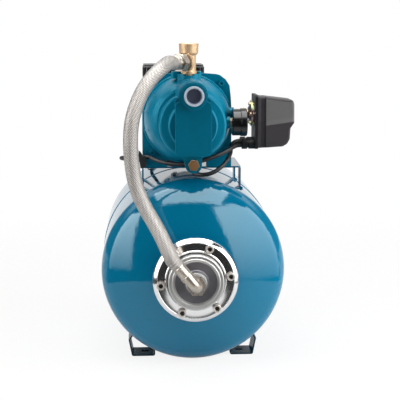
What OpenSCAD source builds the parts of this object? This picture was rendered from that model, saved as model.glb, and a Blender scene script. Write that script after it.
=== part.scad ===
// Jet pump on a horizontal pressure tank, with its gauge, pressure switch, hose and leads.
// The front of the set faces -Y, its right side is +X, and it stands on Z = 0.
// The origin is the middle of the four foot slots, on the floor under the tank's girth weld.

/* [Tank] */
// Outside diameter of the tank shell
tank_d = 350; // [320:5:380]
// Half of the straight length of the shell, from the girth weld to a dome
shell_half = 166; // [156:2:190]
// Radius of the dome's crown
crown_r = 300; // [270:5:340]
// Radius of the knuckle between dome and shell
knuckle_r = 48; // [36:2:60]
// Thickness of the shell sheet
shell_wall = 2; // [1.5:0.5:3]
// Clear height under the shell
tank_lift = 5; // [4:1:12]
// Width of the girth weld bead
weld_w = 6; // [4:1:10]
// Height of the girth weld bead over the sheet
weld_h = 1.2; // [0.8:0.2:2]

/* [Feet] */
// Distance between the slot centres across the tank
foot_span_x = 187; // [175:1:200]
// Distance between the slot centres along the tank
foot_span_y = 234; // [210:2:250]
// Length of each bent foot strap along the tank
foot_len = 48; // [40:2:56]
// Width of the flat sole of a foot
foot_sole = 40; // [36:1:46]
// Thickness of the foot strap
foot_t = 3; // [2.5:0.5:4]
// Width of a foot slot
slot_w = 9; // [7:0.5:11]
// Length of a foot slot from end to end
slot_l = 16; // [13:1:20]
// Lean of the outer wall of a foot
foot_lean = 11; // [8:1:13]
// Height of the fold in the outer wall of a foot
foot_knee = 33; // [29:1:38]
// Inward lean of the outer wall over its fold
foot_fold = 32; // [24:1:36]

/* [Bracket] */
// Width of the pump bracket
bracket_w = 192; // [186:2:200]
// Front edge of the bracket plate, ahead of the girth weld
bracket_front = 109; // [105:1:115]
// Length of the bracket plate along the tank
bracket_len = 142; // [136:2:160]
// Thickness of the bracket plate
bracket_t = 3; // [2.5:0.5:4]
// Gap between the tank's crown and the bracket plate
bracket_gap = 12.5; // [9:0.5:18]
// Width of a bracket leg
leg_w = 26; // [20:1:30]

/* [Tank flange] */
// Outside diameter of the chromed flange ring
ring_d = 157; // [153:1:160]
// Thickness of the flange ring
ring_t = 7; // [6:0.5:9]
// Hole of the flange ring
ring_bore_d = 106; // [104:1:110]
// Pitch circle of the flange bolts
ring_pcd = 129; // [127:1:131]
// Number of flange bolts
ring_bolts = 6; // [4:1:8]
// Outside diameter of the tank's welded neck
neck_d = 146; // [143:1:150]
// Length of the welded neck ahead of the dome's crown
neck_out = 6.7; // [5:0.1:12]
// Diameter of the raised zinc cap
cap_d = 103; // [98:1:103.4]
// Height of the zinc cap ahead of the ring's back
cap_h = 24; // [20:1:30]
// Diameter of the cap's dished middle
dish_d = 77; // [70:1:84]
// Depth of the dish
dish_depth = 4; // [2:0.5:8]
// Width across the flats of the port nipple
port_hex = 31; // [29:1:34]
// Thickness of the membrane
membrane_t = 2; // [1.5:0.5:3]

/* [Pump casing] */
// Pump axis, to the right of the tank's middle
pump_x = -9; // [-12:1:-6]
// Height of the shaft over the bracket plate
shaft_h = 94; // [92:1:98]
// Ledge between the casing and its square adapter, ahead of the girth weld
joint_front = 112; // [110:1:114]
// Radius of the casing's rim
rim_r = 86; // [84:1:88]
// Thickness of the casing's rim
rim_t = 12; // [9:1:14]
// Wall of the casing
cast_wall = 6; // [5:0.5:7]
// Nozzle axis, to the right of the tank's middle
nose_x = -2; // [-4:1:0]
// Nozzle axis, below the shaft
nose_drop = 6; // [4:1:8]
// Radius of the casing's nose
nose_r = 62.5; // [60:0.5:64]
// Length of the casing from the adapter to the nose's face
nose_len = 92; // [88:1:96]
// Radius of the raised disc on the nose
disc_r = 44.5; // [42:0.5:46]
// Height of the raised disc
disc_h = 15; // [12:1:18]
// Middle of the front pad, to the right of the tank's middle
pad_x = -2; // [-3:1:0]
// Width of the front pad
pad_w = 66; // [60:1:70]
// Height of the pad over the shaft, at its top
pad_up = 39; // [36:1:42]
// Height of the pad ahead of the disc
pad_h = 13; // [10:1:16]
// Height of the suction port over the shaft
suction_up = 50; // [48:1:53]
// Distance from the adapter to the suction port's face
suction_len = 133; // [130:1:140]
// Outside radius of the port bosses
boss_r = 25.5; // [24:0.5:27]
// Radius of the one inch port threads at their crests
port_r = 15.15; // [14.9:0.05:15.6]
// Distance from the adapter to the discharge port
discharge_back = 48; // [45:1:52]
// Height of the discharge face over the shaft
discharge_up = 87; // [85:1:90]
// Width across the flats of the drain plug
drain_hex = 18.5; // [16:0.5:20]

/* [Motor] */
// Width of the square adapter
adapter_w = 172; // [168:1:176]
// Height of the square adapter over the shaft
adapter_up = 84.5; // [82:0.5:86]
// Thickness of the adapter plate
adapter_t = 14; // [12:1:16]
// Length of the motor housing
motor_len = 170; // [160:2:180]
// Radius of the motor housing under its fins
motor_r = 58; // [56:1:59]
// Height of the cooling fins
fin_h = 7; // [5:0.5:9]
// Number of cooling fins
fin_count = 32; // [24:4:40]
// Wall of the motor housing
motor_wall = 4; // [3:0.5:5]
// Radius of the motor shaft
shaft_r = 7; // [6:0.5:8]
// Length of the fan cover
fan_cover_len = 58; // [54:2:66]
// Width of the terminal box
box_w = 121.5; // [116:0.5:124]
// Depth of the terminal box
box_len = 90; // [80:2:96]
// Height of the terminal box lid
lid_h = 24; // [20:1:28]

/* [Discharge and hose] */
// Height of the brass tee over the discharge face
tee_h = 56; // [53:1:60]
// Outside radius of the tee's upper socket
socket_r = 18.4; // [18.2:0.1:21]
// Height of the tee's upper socket
socket_h = 18; // [16:1:20]
// Outside radius of the tee's neck
tee_neck_r = 13.2; // [12.6:0.2:14.6]
// Angle of the tee's side port from straight ahead
side_turn = 39; // [37:1:41]
// Width across the flats of the swivel nut
swivel_af = 31; // [30:0.5:32]
// Diameter of the braided hose at the tee
hose_d = 25.5; // [23:0.5:26]
// Diameter of the braided hose at the tank flange
hose_end_d = 22.5; // [20:0.5:24]
// Angle of the lower elbow's outlet in the flange plane
elbow_turn = 130; // [128:1:132]
// Radius of the elbow's pipe
elbow_r = 10.5; // [9.5:0.5:11.5]

/* [Gauge and switch] */
// Diameter of the gauge's bezel
gauge_d = 52.5; // [48:0.5:54]
// Depth of the gauge's case and bezel
gauge_depth = 28; // [24:1:30]
// Radius of the switch's diaphragm housing
diaphragm_r = 24.5; // [22:0.5:26]
// Length of the switch cover
cover_len = 69; // [64:1:74]
// Height of the switch cover
cover_h = 100; // [96:1:104]
// Width of the switch cover
cover_w = 66; // [62:1:68]
// Wall of the switch cover
cover_wall = 2.4; // [2:0.2:3]
// Radius of a cable gland's body
gland_r = 9.5; // [9:0.5:10.5]

/* [Leads] */
// Diameter of the rubber leads
lead_d = 8; // [7:0.5:8]
// Mean radius of the stored coil
coil_r = 44; // [42:1:46]
// Sides of a swept tube
tube_sides = 8; // [8:1:12]

/* [Hidden] */
$fn = 64;

// Over-cut of a through hole, gap of a seat and gap of a running fit
cut = 1;
seat = 0.3;
run_fit = 0.05;
free_gap = 0.6;

teal = "#0a7796";
steel = "#9aa0a4";
dark = "#2b2b2d";
chrome = "#d8dadc";
zinc = "#b9bcbc";
brass = "#c9a15a";
nickel = "#c8c2b6";

tank_r = tank_d / 2;
axis_z = tank_lift + tank_r;
crown_z = axis_z + tank_r;
dome_h = crown_r - sqrt(pow(crown_r - knuckle_r, 2) - pow(tank_r - knuckle_r, 2));
dome_turn = asin((tank_r - knuckle_r) / (crown_r - knuckle_r));
crown_c = shell_half + dome_h - crown_r;
neck_front = shell_half + dome_h + neck_out;
plate_top = crown_z + bracket_gap + bracket_t;
shaft_z = plate_top + shaft_h;
nose_z = shaft_z - nose_drop;
suction_z = shaft_z + suction_up;
discharge_z = shaft_z + discharge_up;
discharge_x = pump_x + 1.5;
discharge_y = -joint_front - discharge_back;
tee_z = discharge_z + 21;
tee_top = discharge_z + tee_h;
ring_back = neck_front + membrane_t;
cap_front = ring_back + cap_h;
nipple_back = cap_front + 14;
nipple_front = nipple_back + 15;
elbow_bend = 14;
elbow_y = -nipple_front - elbow_bend + 1;
top_ferrule = 13;
low_ferrule = 24;
adapter_back = adapter_t - joint_front;
motor_back = adapter_back + motor_len;
gauge_y = -joint_front - 53;
gauge_z = shaft_z - 3.5;
gauge_x = 69.5;
switch_y = -joint_front - 13;
switch_z = shaft_z + 10.5;
switch_x = 107;
gland_z = switch_z - 57;
cover_z = gland_z - 8;
gland_ys = [switch_y - 20, switch_y + 18];
cover_x = switch_x + 17;
box_x = pump_x - 23.5;
box_y = -7;
box_base = shaft_z + motor_r + 3;
lid_base = box_base + 15;

// The hose runs from the tee's side port, past the pump's left side, to the flange elbow
hose_mid = [[-62, -233, 562], [-76, -245, 549], [-88, -255, 534], [-98, -262, 517], [-108, -270, 492],
    [-114, -275, 467], [-116, -278, 439], [-115, -280, 410], [-111, -282, 377], [-104, -285, 350],
    [-91, -292, 321], [-77, -300, 297], [-62, -311, 270]];

// The motor lead leaves the rear gland, hangs to the tank's crown, passes the arch under the
// adapter and climbs behind it to the terminal box
motor_route = [[84, -108, 416], [77, -116, 409], [74, -127, 398], [66, -139, 385], [52, -149, 372],
    [38, -153, 364], [24, -153, 360.5], [12, -148, 360], [4, -139, 361.5], [4, -130, 366],
    [7, -120, 371.5], [8, -108, 374.8], [4, -96, 375], [-6, -80, 375], [-20, -62, 375],
    [-36, -44, 375], [-50, -30, 376], [-62, -16, 379], [-72, -2, 386], [-79, 14, 399],
    [-83, 30, 418], [-85, 46, 442], [-85, 60, 468], [-82, 72, 492], [-75, 80, 512],
    [-67, 78, 526]];

// The mains lead leaves the front gland, passes the clip, turns round the adapter's left side,
// lies on the bracket and the tank and hangs behind it to the floor
mains_route = [[84, -145, 416], [72, -151, 410], [56, -159, 402], [37, -164, 395], [18, -166, 389],
    [0, -165, 385], [-19, -162, 382], [-38, -156, 382], [-56, -147, 384], [-70, -136, 387],
    [-78, -127, 389.5], [-84, -120, 390.5], [-105, -120, 390.5], [-119, -116, 390], [-131, -104, 388],
    [-136, -87, 385], [-131, -70, 382], [-119, -57, 379], [-104, -46, 376], [-93, -32, 375],
    [-88, -14, 375], [-86, 6, 375], [-84, 26, 375], [-83, 38, 374.5], [-82, 53, 364], [-81, 70, 346],
    [-79, 90, 341], [-76, 115, 342.5], [-72, 140, 345], [-68, 165, 348], [-64, 187, 345],
    [-61, 207, 332], [-58, 226, 308], [-56, 241, 278], [-54, 251, 242], [-52, 257, 200],
    [-50, 261, 150], [-48, 264, 100], [-46, 268, 60], [-45, 276, 30], [-44, 290, 11],
    [-44, 301.8, 5]];
coil_c = [0, 335];
coil_w = 16;
coil_h = 15;
plug_r = 19;

// The tee's side port looks along tee_dir and the elbow's outlet along elbow_dir
tee_dir = [-sin(side_turn), -cos(side_turn), 0];
elbow_dir = [cos(elbow_turn), 0, sin(elbow_turn)];
tee_c = [discharge_x, discharge_y, tee_z];
elbow_c = [0, elbow_y, axis_z];
nut_at = socket_r - 1.4;
nut_l = 15;
ferrule_at = nut_at + nut_l + seat;
hose_start = tee_c + (ferrule_at + top_ferrule) * tee_dir;
lower_at = elbow_bend + 15;
hose_end = elbow_c + (lower_at + low_ferrule) * elbow_dir;
hose_route = concat([for (k = [0:2]) hose_start + 9 * k * tee_dir], hose_mid,
    [for (k = [2:-1:0]) hose_end + 9 * k * elbow_dir]);

// Points of an arc from angle a to angle b
function arc_points(cx, cy, r, a, b, n) =
    [for (i = [0:n]) [cx + r * cos(a + (b - a) * i / n), cy + r * sin(a + (b - a) * i / n)]];

// Half section of a shell half that is s thinner than the tank, with an opening of radius r0
function dome_points(s, r0) = concat(
    arc_points(0, crown_c, crown_r - s, acos(r0 / (crown_r - s)), 90 - dome_turn, 8),
    arc_points(tank_r - knuckle_r, shell_half, knuckle_r - s, 90 - dome_turn, 0, 9),
    [[tank_r - s, 0]]);

function reversed(v) = [for (i = [len(v) - 1:-1:0]) v[i]];
function unit(v) = v / norm(v);

// A point of the smooth curve through four points, at share t between the middle two
function blend_point(a, b, c, d, t) =
    0.5 * (2 * b + (c - a) * t + (2 * a - 5 * b + 4 * c - d) * t * t + (3 * b - a - 3 * c + d) * t * t * t);

// A route with n points for each of its steps
function smooth_route(p, n) = concat(
    [for (i = [0:len(p) - 2]) for (k = [0:n - 1])
        blend_point(p[max(0, i - 1)], p[i], p[i + 1], p[min(len(p) - 1, i + 2)], k / n)],
    [p[len(p) - 1]]);

function route_dir(p, i) = unit(p[min(len(p) - 1, i + 1)] - p[max(0, i - 1)]);

// Swept tube along a route, of radius r0 at its start and r1 at its end; hint is a direction
// that the route never runs along
module tube(p, r0, r1, hint, sides) {
    n = len(p);
    ring = [for (i = [0:n - 1])
        let (t = route_dir(p, i), u = unit(cross(t, hint)), v = cross(t, u), r = r0 + (r1 - r0) * i / (n - 1))
        for (k = [0:sides - 1]) p[i] + r * (cos(360 * k / sides) * u + sin(360 * k / sides) * v)];
    walls = [for (i = [0:n - 2]) for (k = [0:sides - 1])
        let (a = i * sides + k, b = i * sides + (k + 1) % sides)
        each [[a, a + sides, b], [b, a + sides, b + sides]]];
    first = [for (k = [0:sides - 1]) k];
    last = [for (k = [sides - 1:-1:0]) (n - 1) * sides + k];
    polyhedron(points = ring, faces = concat(walls, [first, last]), convexity = 10);
}

// Local +z looks to the front, to the back or to the right of the set
module front_at(x, y, z) {
    translate([x, y, z]) rotate([90, 0, 0]) children();
}

module back_at(x, y, z) {
    translate([x, y, z]) rotate([-90, 0, 0]) children();
}

module right_at(x, y, z) {
    translate([x, y, z]) rotate([0, 90, 0]) children();
}

module along_side_port() {
    translate(tee_c) rotate([0, 0, -side_turn]) rotate([90, 0, 0]) children();
}

module along_elbow() {
    front_at(0, elbow_y + elbow_bend, axis_z) rotate([0, 0, elbow_turn]) children();
}

module pipe(r_out, r_in, h) {
    difference() {
        cylinder(r = r_out, h = h);
        translate([0, 0, -cut]) cylinder(r = r_in, h = h + 2 * cut);
    }
}

module hexagon(af, h) {
    cylinder(r = af / sqrt(3), h = h, $fn = 6);
}

module rounded_rect(w, h, r) {
    union() {
        square([w - 2 * r, h], center = true);
        square([w, h - 2 * r], center = true);
        for (x = [-1, 1]) for (y = [-1, 1])
            translate([x * (w / 2 - r), y * (h / 2 - r)]) circle(r = r, $fn = 32);
    }
}

module slot_2d(l, w) {
    square([l - w, w], center = true);
    for (x = [-1, 1]) translate([x * (l - w) / 2, 0]) circle(r = w / 2, $fn = 32);
}

module shell_half_solid(r0) {
    rotate_extrude($fn = 128)
        polygon(concat(dome_points(0, r0), reversed(dome_points(shell_wall, r0))));
}

module tank_front_shell() {
    color(teal) {
        neck_in = ring_bore_d / 2;
        neck_root = crown_c + sqrt(pow(crown_r - shell_wall, 2) - pow(neck_d / 2, 2));
        difference() {
            union() {
                front_at(0, 0, axis_z) shell_half_solid(neck_in);
                front_at(0, -neck_root, axis_z) pipe(neck_d / 2, neck_in, neck_front - neck_root);
            }
            front_at(0, -neck_front + bolt_deep, axis_z) bolt_circle()
                cylinder(r = bolt_r + seat, h = bolt_deep + cut);
        }
    }
}

bolt_r = 4;
bolt_deep = 11;
bolt_turn = 7;

module bolt_circle() {
    for (i = [0:ring_bolts - 1])
        rotate([0, 0, bolt_turn + i * 360 / ring_bolts]) translate([ring_pcd / 2, 0, 0]) children();
}

valve_r = 6;

module tank_rear_shell() {
    color(teal) back_at(0, 0, axis_z) shell_half_solid(valve_r);
}

module girth_weld() {
    color(teal) back_at(0, 0, axis_z) rotate_extrude($fn = 128) translate([tank_r, 0])
        polygon([[0, -weld_w / 2], [weld_h * 0.8, -weld_w / 4], [weld_h, 0],
            [weld_h * 0.8, weld_w / 4], [0, weld_w / 2]]);
}

// Outline of one foot strap seen along the tank, d inside its outer face
function foot_points(d) =
    let (r = 4, x0 = -foot_sole / 2, x1 = foot_sole / 2 + 5.5,
        n0 = [cos(foot_lean), -sin(foot_lean)], n1 = [cos(foot_fold), sin(foot_fold)],
        knee = [x1 + foot_knee * tan(foot_lean), foot_knee] - d * (n0 + n1) / (1 + n0 * n1))
    concat(arc_points(x0 + r, r, r - d, 180, 270, 4),
        arc_points(x1 - r * (1 - sin(foot_lean)) / cos(foot_lean), r, r - d, 270, 360 - foot_lean, 4),
        [knee, knee + (30 + d) * [-sin(foot_fold), cos(foot_fold)], [x0 + d, 60 + 2 * d]]);

module foot_outline() {
    difference() {
        polygon(foot_points(0));
        polygon(foot_points(foot_t));
        translate([-foot_span_x / 2, axis_z]) circle(r = tank_r, $fn = 128);
    }
}

module tank_feet() {
    color(teal)
        for (side = [0, 1]) for (end = [-1, 1])
            mirror([side, 0, 0]) translate([foot_span_x / 2, end * foot_span_y / 2, 0])
                difference() {
                    translate([0, foot_len / 2, 0]) rotate([90, 0, 0]) linear_extrude(foot_len) foot_outline();
                    translate([0, 0, -cut]) linear_extrude(foot_t + 2 * cut) slot_2d(slot_l, slot_w);
                }
}

plate_mid = bracket_len / 2 - bracket_front;
foot_hole_r = 4.5;
front_hole_y = -joint_front + 34;
rear_hole_y = 17;
adapter_mid = pump_x;
front_hole_x = adapter_w / 2 - 19;
rear_hole_x = 26;

module foot_holes() {
    for (x = [-1, 1]) {
        translate([adapter_mid + x * front_hole_x, front_hole_y, 0]) children();
        translate([pump_x + x * rear_hole_x, rear_hole_y, 0]) children();
    }
}

module bracket_plate() {
    color(teal) translate([0, 0, plate_top - bracket_t]) difference() {
        translate([0, plate_mid, 0]) linear_extrude(bracket_t)
            rounded_rect(bracket_w, bracket_len, 6);
        foot_holes() translate([0, 0, -cut]) cylinder(r = foot_hole_r, h = bracket_t + 2 * cut, $fn = 32);
        translate([pump_x, plate_mid, -cut]) linear_extrude(bracket_t + 2 * cut) slot_2d(60, 26);
    }
}

// A leg is a flat strap with a small outward toe, cut to the tank's curve
module leg_outline() {
    lip = 4;
    top = plate_top - bracket_t;
    x0 = bracket_w / 2 - bracket_t;
    foot_z = axis_z + sqrt(pow(tank_r, 2) - pow(x0, 2));
    difference() {
        polygon([[x0, foot_z - 8], [x0 + bracket_t + lip, foot_z - 8], [x0 + bracket_t + lip, foot_z + 0.5],
            [x0 + bracket_t, foot_z + 3], [x0 + bracket_t, top], [x0, top]]);
        translate([0, axis_z]) circle(r = tank_r, $fn = 128);
    }
}

module bracket_legs() {
    leg_y = [-bracket_front + leg_w, bracket_len - bracket_front];
    color(teal)
        for (side = [0, 1]) for (y = leg_y)
            mirror([side, 0, 0]) translate([0, y, 0]) rotate([90, 0, 0]) linear_extrude(leg_w) leg_outline();
}

// The membrane hangs from its rim, which is clamped between the neck and the ring
module tank_membrane() {
    bag_r = tank_r - 26;
    bag_l = 330;
    rim_in = ring_bore_d / 2 - 8;
    outer = [[ring_bore_d / 2 - 1, 0], [ring_bore_d / 2 - 1, 23], [90, 39], [bag_r - 8, 62], [bag_r, 90],
        [bag_r, bag_l - 60], [bag_r - 12, bag_l - 26], [bag_r - 50, bag_l], [0, bag_l + 12]];
    color(dark) back_at(0, -ring_back, axis_z) {
        pipe(ring_pcd / 2 - 6, rim_in, membrane_t);
        rotate_extrude($fn = 64) difference() {
            polygon(concat([[rim_in, 0]], outer, [[0, bag_l + 12 - membrane_t * 2]],
                [for (i = [len(outer) - 2:-1:1]) outer[i] - [membrane_t, i > 4 ? membrane_t : 0]],
                [[rim_in, 23]]));
        }
    }
}

ring_seat = ring_t - 2.1;

// The ring has a rolled outer band, a flat for the bolts and a bead at its bore
module flange_ring() {
    r0 = ring_bore_d / 2;
    r1 = ring_d / 2;
    color(chrome) front_at(0, -ring_back, axis_z) difference() {
        rotate_extrude($fn = 128)
            polygon(concat([[r0, 0], [r1 - 1, 0]], arc_points(r1 - 3.7, ring_t - 3.7, 3.7, -30, 150, 9),
                [[r1 - 7.6, ring_seat], [r0 + 3.6, ring_seat]],
                arc_points(r0 + 1.8, ring_seat, 1.7, 0, 180, 6)));
        bolt_circle() {
            translate([0, 0, -cut]) cylinder(r = bolt_r + seat, h = ring_t + 2 * cut, $fn = 32);
            translate([0, 0, ring_seat]) cylinder(r = bolt_head_r + 0.4, h = ring_t, $fn = 48);
        }
    }
}

bolt_head_r = 7.8;

// Socket screws with round heads
module flange_bolts() {
    color(zinc) front_at(0, -ring_back, axis_z) bolt_circle() {
        translate([0, 0, ring_seat]) difference() {
            union() {
                cylinder(r = bolt_head_r, h = 5.6);
                translate([0, 0, 5.6]) cylinder(r1 = bolt_head_r, r2 = bolt_head_r - 1.2, h = 1.2);
            }
            translate([0, 0, 4]) cylinder(r = 4.8, h = 3 + cut, $fn = 6);
        }
        translate([0, 0, 1 - bolt_deep]) cylinder(r = bolt_r, h = ring_seat + bolt_deep - 1 + cut / 2);
    }
}

// The pressed zinc cap holds the port and closes the membrane's mouth
module flange_cap() {
    r1 = cap_d / 2;
    rd = dish_d / 2;
    socket = 18;
    top = cap_h + 14;
    color(zinc) front_at(0, -ring_back, axis_z) rotate_extrude($fn = 128)
        polygon(concat([[port_r, 0], [r1, 0]], arc_points(r1 - 3.4, cap_h - 4.6, 3.4, 0, 90, 5),
            [[rd + 6.6, cap_h - 1.2]], arc_points(rd + 4, cap_h - 2.6, 2.6, 30, 180, 6),
            [[rd + 1, cap_h - dish_depth + 0.5], [rd - 1, cap_h - dish_depth],
            [socket + 6, cap_h - dish_depth - 1], [socket + 4, cap_h - dish_depth + 1],
            [socket, cap_h - dish_depth + 2], [socket, top], [port_r, top]]));
}

module port_nipple() {
    color(nickel) front_at(0, -nipple_back, axis_z) difference() {
        union() {
            hexagon(port_hex, nipple_front - nipple_back);
            translate([0, 0, -20]) cylinder(r = port_r - 0.1, h = 20 + cut);
        }
        translate([0, 0, -20 - cut]) cylinder(r = 8, h = 40);
        translate([0, 0, 3]) cylinder(r = elbow_r + 0.1, h = 20);
    }
}

// A quarter bend from the nipple to the hose
module hose_elbow() {
    color(nickel) along_elbow() {
        translate([elbow_bend, 0, 0]) rotate([90, 0, 0]) rotate([0, 0, 90])
            rotate_extrude(angle = 90, $fn = 64) translate([elbow_bend, 0]) circle(r = elbow_r, $fn = 48);
        translate([elbow_bend, 0, elbow_bend]) rotate([0, 90, 0]) cylinder(r = elbow_r, h = 11);
        translate([elbow_bend + 11, 0, elbow_bend]) rotate([0, 90, 0]) cylinder(r = elbow_r + 1.5, h = 4);
        translate([0, 0, -11]) cylinder(r = elbow_r, h = 11);
    }
}

module ferrule(r, l) {
    rotate_extrude() polygon([[0, 0], [r - 2, 0], [r - 1, 2], [r - 1, l / 4], [r, l / 4 + 1], [r, l / 2],
        [r - 0.7, l / 2 + 1], [r - 0.7, l / 2 + 3], [r, l / 2 + 4], [r, l - 1.5], [r - 1, l], [0, l]]);
}

module hose_ferrules() {
    color(nickel) {
        along_side_port() translate([0, 0, ferrule_at]) ferrule(hose_d / 2 + 0.6, top_ferrule);
        along_elbow() translate([lower_at, 0, elbow_bend]) rotate([0, 90, 0]) ferrule(hose_end_d / 2 + 1, low_ferrule);
    }
}

module braided_hose() {
    color(steel) tube(smooth_route(hose_route, 2), hose_d / 2, hose_end_d / 2, [0, 1, 0], 12);
}

// The nut turns on the hose tail
module swivel_nut() {
    tail_r = 11;
    color(nickel) along_side_port() translate([0, 0, nut_at]) difference() {
        intersection() {
            hexagon(swivel_af, nut_l - seat);
            rotate_extrude() polygon([[0, 0], [swivel_af / 2 + 0.1, 0], [swivel_af / 2 + 3, 3],
                [swivel_af / 2 + 3, nut_l - 2 - seat], [swivel_af / 2 + 0.4, nut_l - seat], [0, nut_l - seat]]);
        }
        translate([0, 0, -cut]) cylinder(r = tail_r + run_fit, h = nut_l + 2 * cut);
    }
}

// Forged tee: spigot below, socket above and the hose's port at the side
module brass_tee() {
    neck_top = tee_h - socket_h - 4;
    color(brass) difference() {
        union() {
            translate([discharge_x, discharge_y, discharge_z]) {
                translate([0, 0, -13]) cylinder(r = port_r - 0.15, h = 14);
                cylinder(r = tee_neck_r + 2, h = 4);
                translate([0, 0, 4]) cylinder(r1 = tee_neck_r + 2, r2 = tee_neck_r, h = 2);
                cylinder(r = tee_neck_r, h = neck_top + 1);
                translate([0, 0, neck_top]) cylinder(r1 = tee_neck_r + 1, r2 = socket_r - 1, h = 4);
                translate([0, 0, neck_top + 4]) cylinder(r1 = socket_r - 0.8, r2 = socket_r, h = socket_h - 1);
                translate([0, 0, tee_h - 1]) cylinder(r1 = socket_r, r2 = socket_r - 0.8, h = 1);
            }
            along_side_port() {
                cylinder(r = 13, h = nut_at - seat);
                translate([0, 0, 9]) cylinder(r = socket_r + 0.6, h = 6);
                cylinder(r = 11, h = ferrule_at);
            }
        }
        translate([discharge_x, discharge_y, discharge_z]) {
            translate([0, 0, tee_h - 17]) cylinder(r = port_r, h = 17 + cut);
            translate([0, 0, -13 - cut]) cylinder(r = 10, h = tee_h);
        }
        along_side_port() cylinder(r = 8, h = ferrule_at + cut);
    }
}

module air_valve() {
    stem = 15;
    y0 = shell_half + dome_h - shell_wall;
    color(zinc) back_at(0, y0, axis_z) {
        cylinder(r = valve_r - 0.2, h = shell_wall + 1);
        translate([0, 0, shell_wall + seat]) cylinder(r = 13, h = 2.5);
        translate([0, 0, shell_wall + 2.5]) hexagon(14, 4);
        translate([0, 0, shell_wall + 6]) cylinder(r = 3.9, h = stem);
    }
}

module air_valve_cap() {
    y0 = shell_half + dome_h + 6.5;
    color(dark) back_at(0, y0, axis_z) difference() {
        union() {
            cylinder(r = 12, h = 19);
            for (i = [0:11]) rotate([0, 0, i * 30]) translate([11.6, -0.8, 2]) cube([1.2, 1.6, 15]);
        }
        translate([0, 0, -cut]) cylinder(r = 4.2, h = 17 + cut);
    }
}

// Quarter ellipse of the casing's shoulder, from the rim to the face
function shoulder(r0, r1, z0, z1, n) =
    [for (i = [0:n]) [r1 + (r0 - r1) * cos(90 * i / n), z0 + (z1 - z0) * sin(90 * i / n)]];

body_face = 74;
body_r1 = 54;

// The cast body: rim and shoulder round the shaft, nose round the nozzle
module casing_skin() {
    front_at(pump_x, -joint_front, shaft_z)
        rotate_extrude($fn = 96)
            polygon(concat([[0, 0], [rim_r, 0], [rim_r, rim_t - 1.5], [rim_r - 1.5, rim_t]],
                shoulder(rim_r - 3.5, body_r1, rim_t, body_face, 9), [[0, body_face]]));
    front_at(nose_x, -joint_front - 20, nose_z) rotate_extrude($fn = 96)
        polygon(concat([[0, 0], [nose_r + 3, 0]],
            arc_points(nose_r - 6, nose_len - 26, 6, 15, 90, 5),
            [[disc_r + 1.5, nose_len - 19], [disc_r, nose_len - 17.5], [disc_r, nose_len - 22 + disc_h],
            [disc_r - 2, nose_len - 20 + disc_h], [0, nose_len - 20 + disc_h]]));
}

pad_low = 60;
lug_drop = 70;
lug_r = 15.5;
pad_y = -joint_front - nose_len - disc_h - pad_h;
lug_y = pad_y + 4;

// Cone between two points
module rod(a, b, ra, rb) {
    d = b - a;
    translate(a) rotate([0, acos(d[2] / norm(d)), atan2(d[1], d[0])]) cylinder(r1 = ra, r2 = rb, h = norm(d));
}

// The flat pad on the nose, its web to the suction port and the drain lug below it
module casing_pad() {
    front_at(pad_x, pad_y + pad_h + 6, shaft_z) linear_extrude(pad_h + 6)
        translate([0, (pad_up - pad_low) / 2]) rounded_rect(pad_w, pad_up + pad_low, 9);
    front_at(pad_x, -joint_front - 60, shaft_z) linear_extrude(pad_h + 32) polygon([[-pad_w / 2, 0],
        [-pad_w / 2, pad_up + 2], [8 - pad_w / 2, pad_up + 10], [pad_w / 2 - 8, pad_up + 10],
        [pad_w / 2, pad_up + 2], [pad_w / 2, 0]]);
    front_at(nose_x, lug_y + 44, nose_z) linear_extrude(44) union() {
        translate([0, -lug_drop]) circle(r = lug_r);
        polygon([[-lug_r, -lug_drop], [lug_r, -lug_drop], [lug_r, -44], [-lug_r - 10, -44]]);
    }
}

ear_h = 4.5;
notch_w = 18;
notch_h = 3;

// The discharge boss with its two ears, and the saddle from it to the suction boss
module casing_hood() {
    hood_r = boss_r + 1.3;
    rod([discharge_x, discharge_y + 6, suction_z + 4], [nose_x, -joint_front - suction_len + 21, suction_z - 0.5],
        hood_r + 2.2, hood_r);
    translate([discharge_x, discharge_y, shaft_z + 50]) cylinder(r = boss_r - 4, h = discharge_up - 50);
    translate([0, 0, discharge_z - 9]) linear_extrude(9 + ear_h)
        translate([discharge_x - 4.5, discharge_y + 4.5]) rounded_rect(56, 17, 5);
}

// Low casting ribs on the shoulder, close to the rim
module shoulder_ribs() {
    skin = shoulder(rim_r - 2.6, body_r1 + 0.9, rim_t, body_face + 0.9, 9);
    front_at(pump_x, -joint_front, shaft_z) for (a = [143, 169, 194])
        rotate([0, 0, a - 1]) rotate_extrude(angle = 2.2)
            polygon(concat([for (i = [0:4]) skin[i]], [skin[4] - [8, 0], skin[0] - [8, 0]]));
}

module casing_bosses() {
    front_at(nose_x, -joint_front - 30, suction_z) {
        cylinder(r = boss_r, h = suction_len - 32);
        cylinder(r = boss_r - 2, h = suction_len - 30);
    }
    right_at(gauge_x - 20, gauge_y, gauge_z) cylinder(r = 11, h = 20);
    right_at(60, switch_y, switch_z) cylinder(r = 11, h = 20);
}

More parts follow.
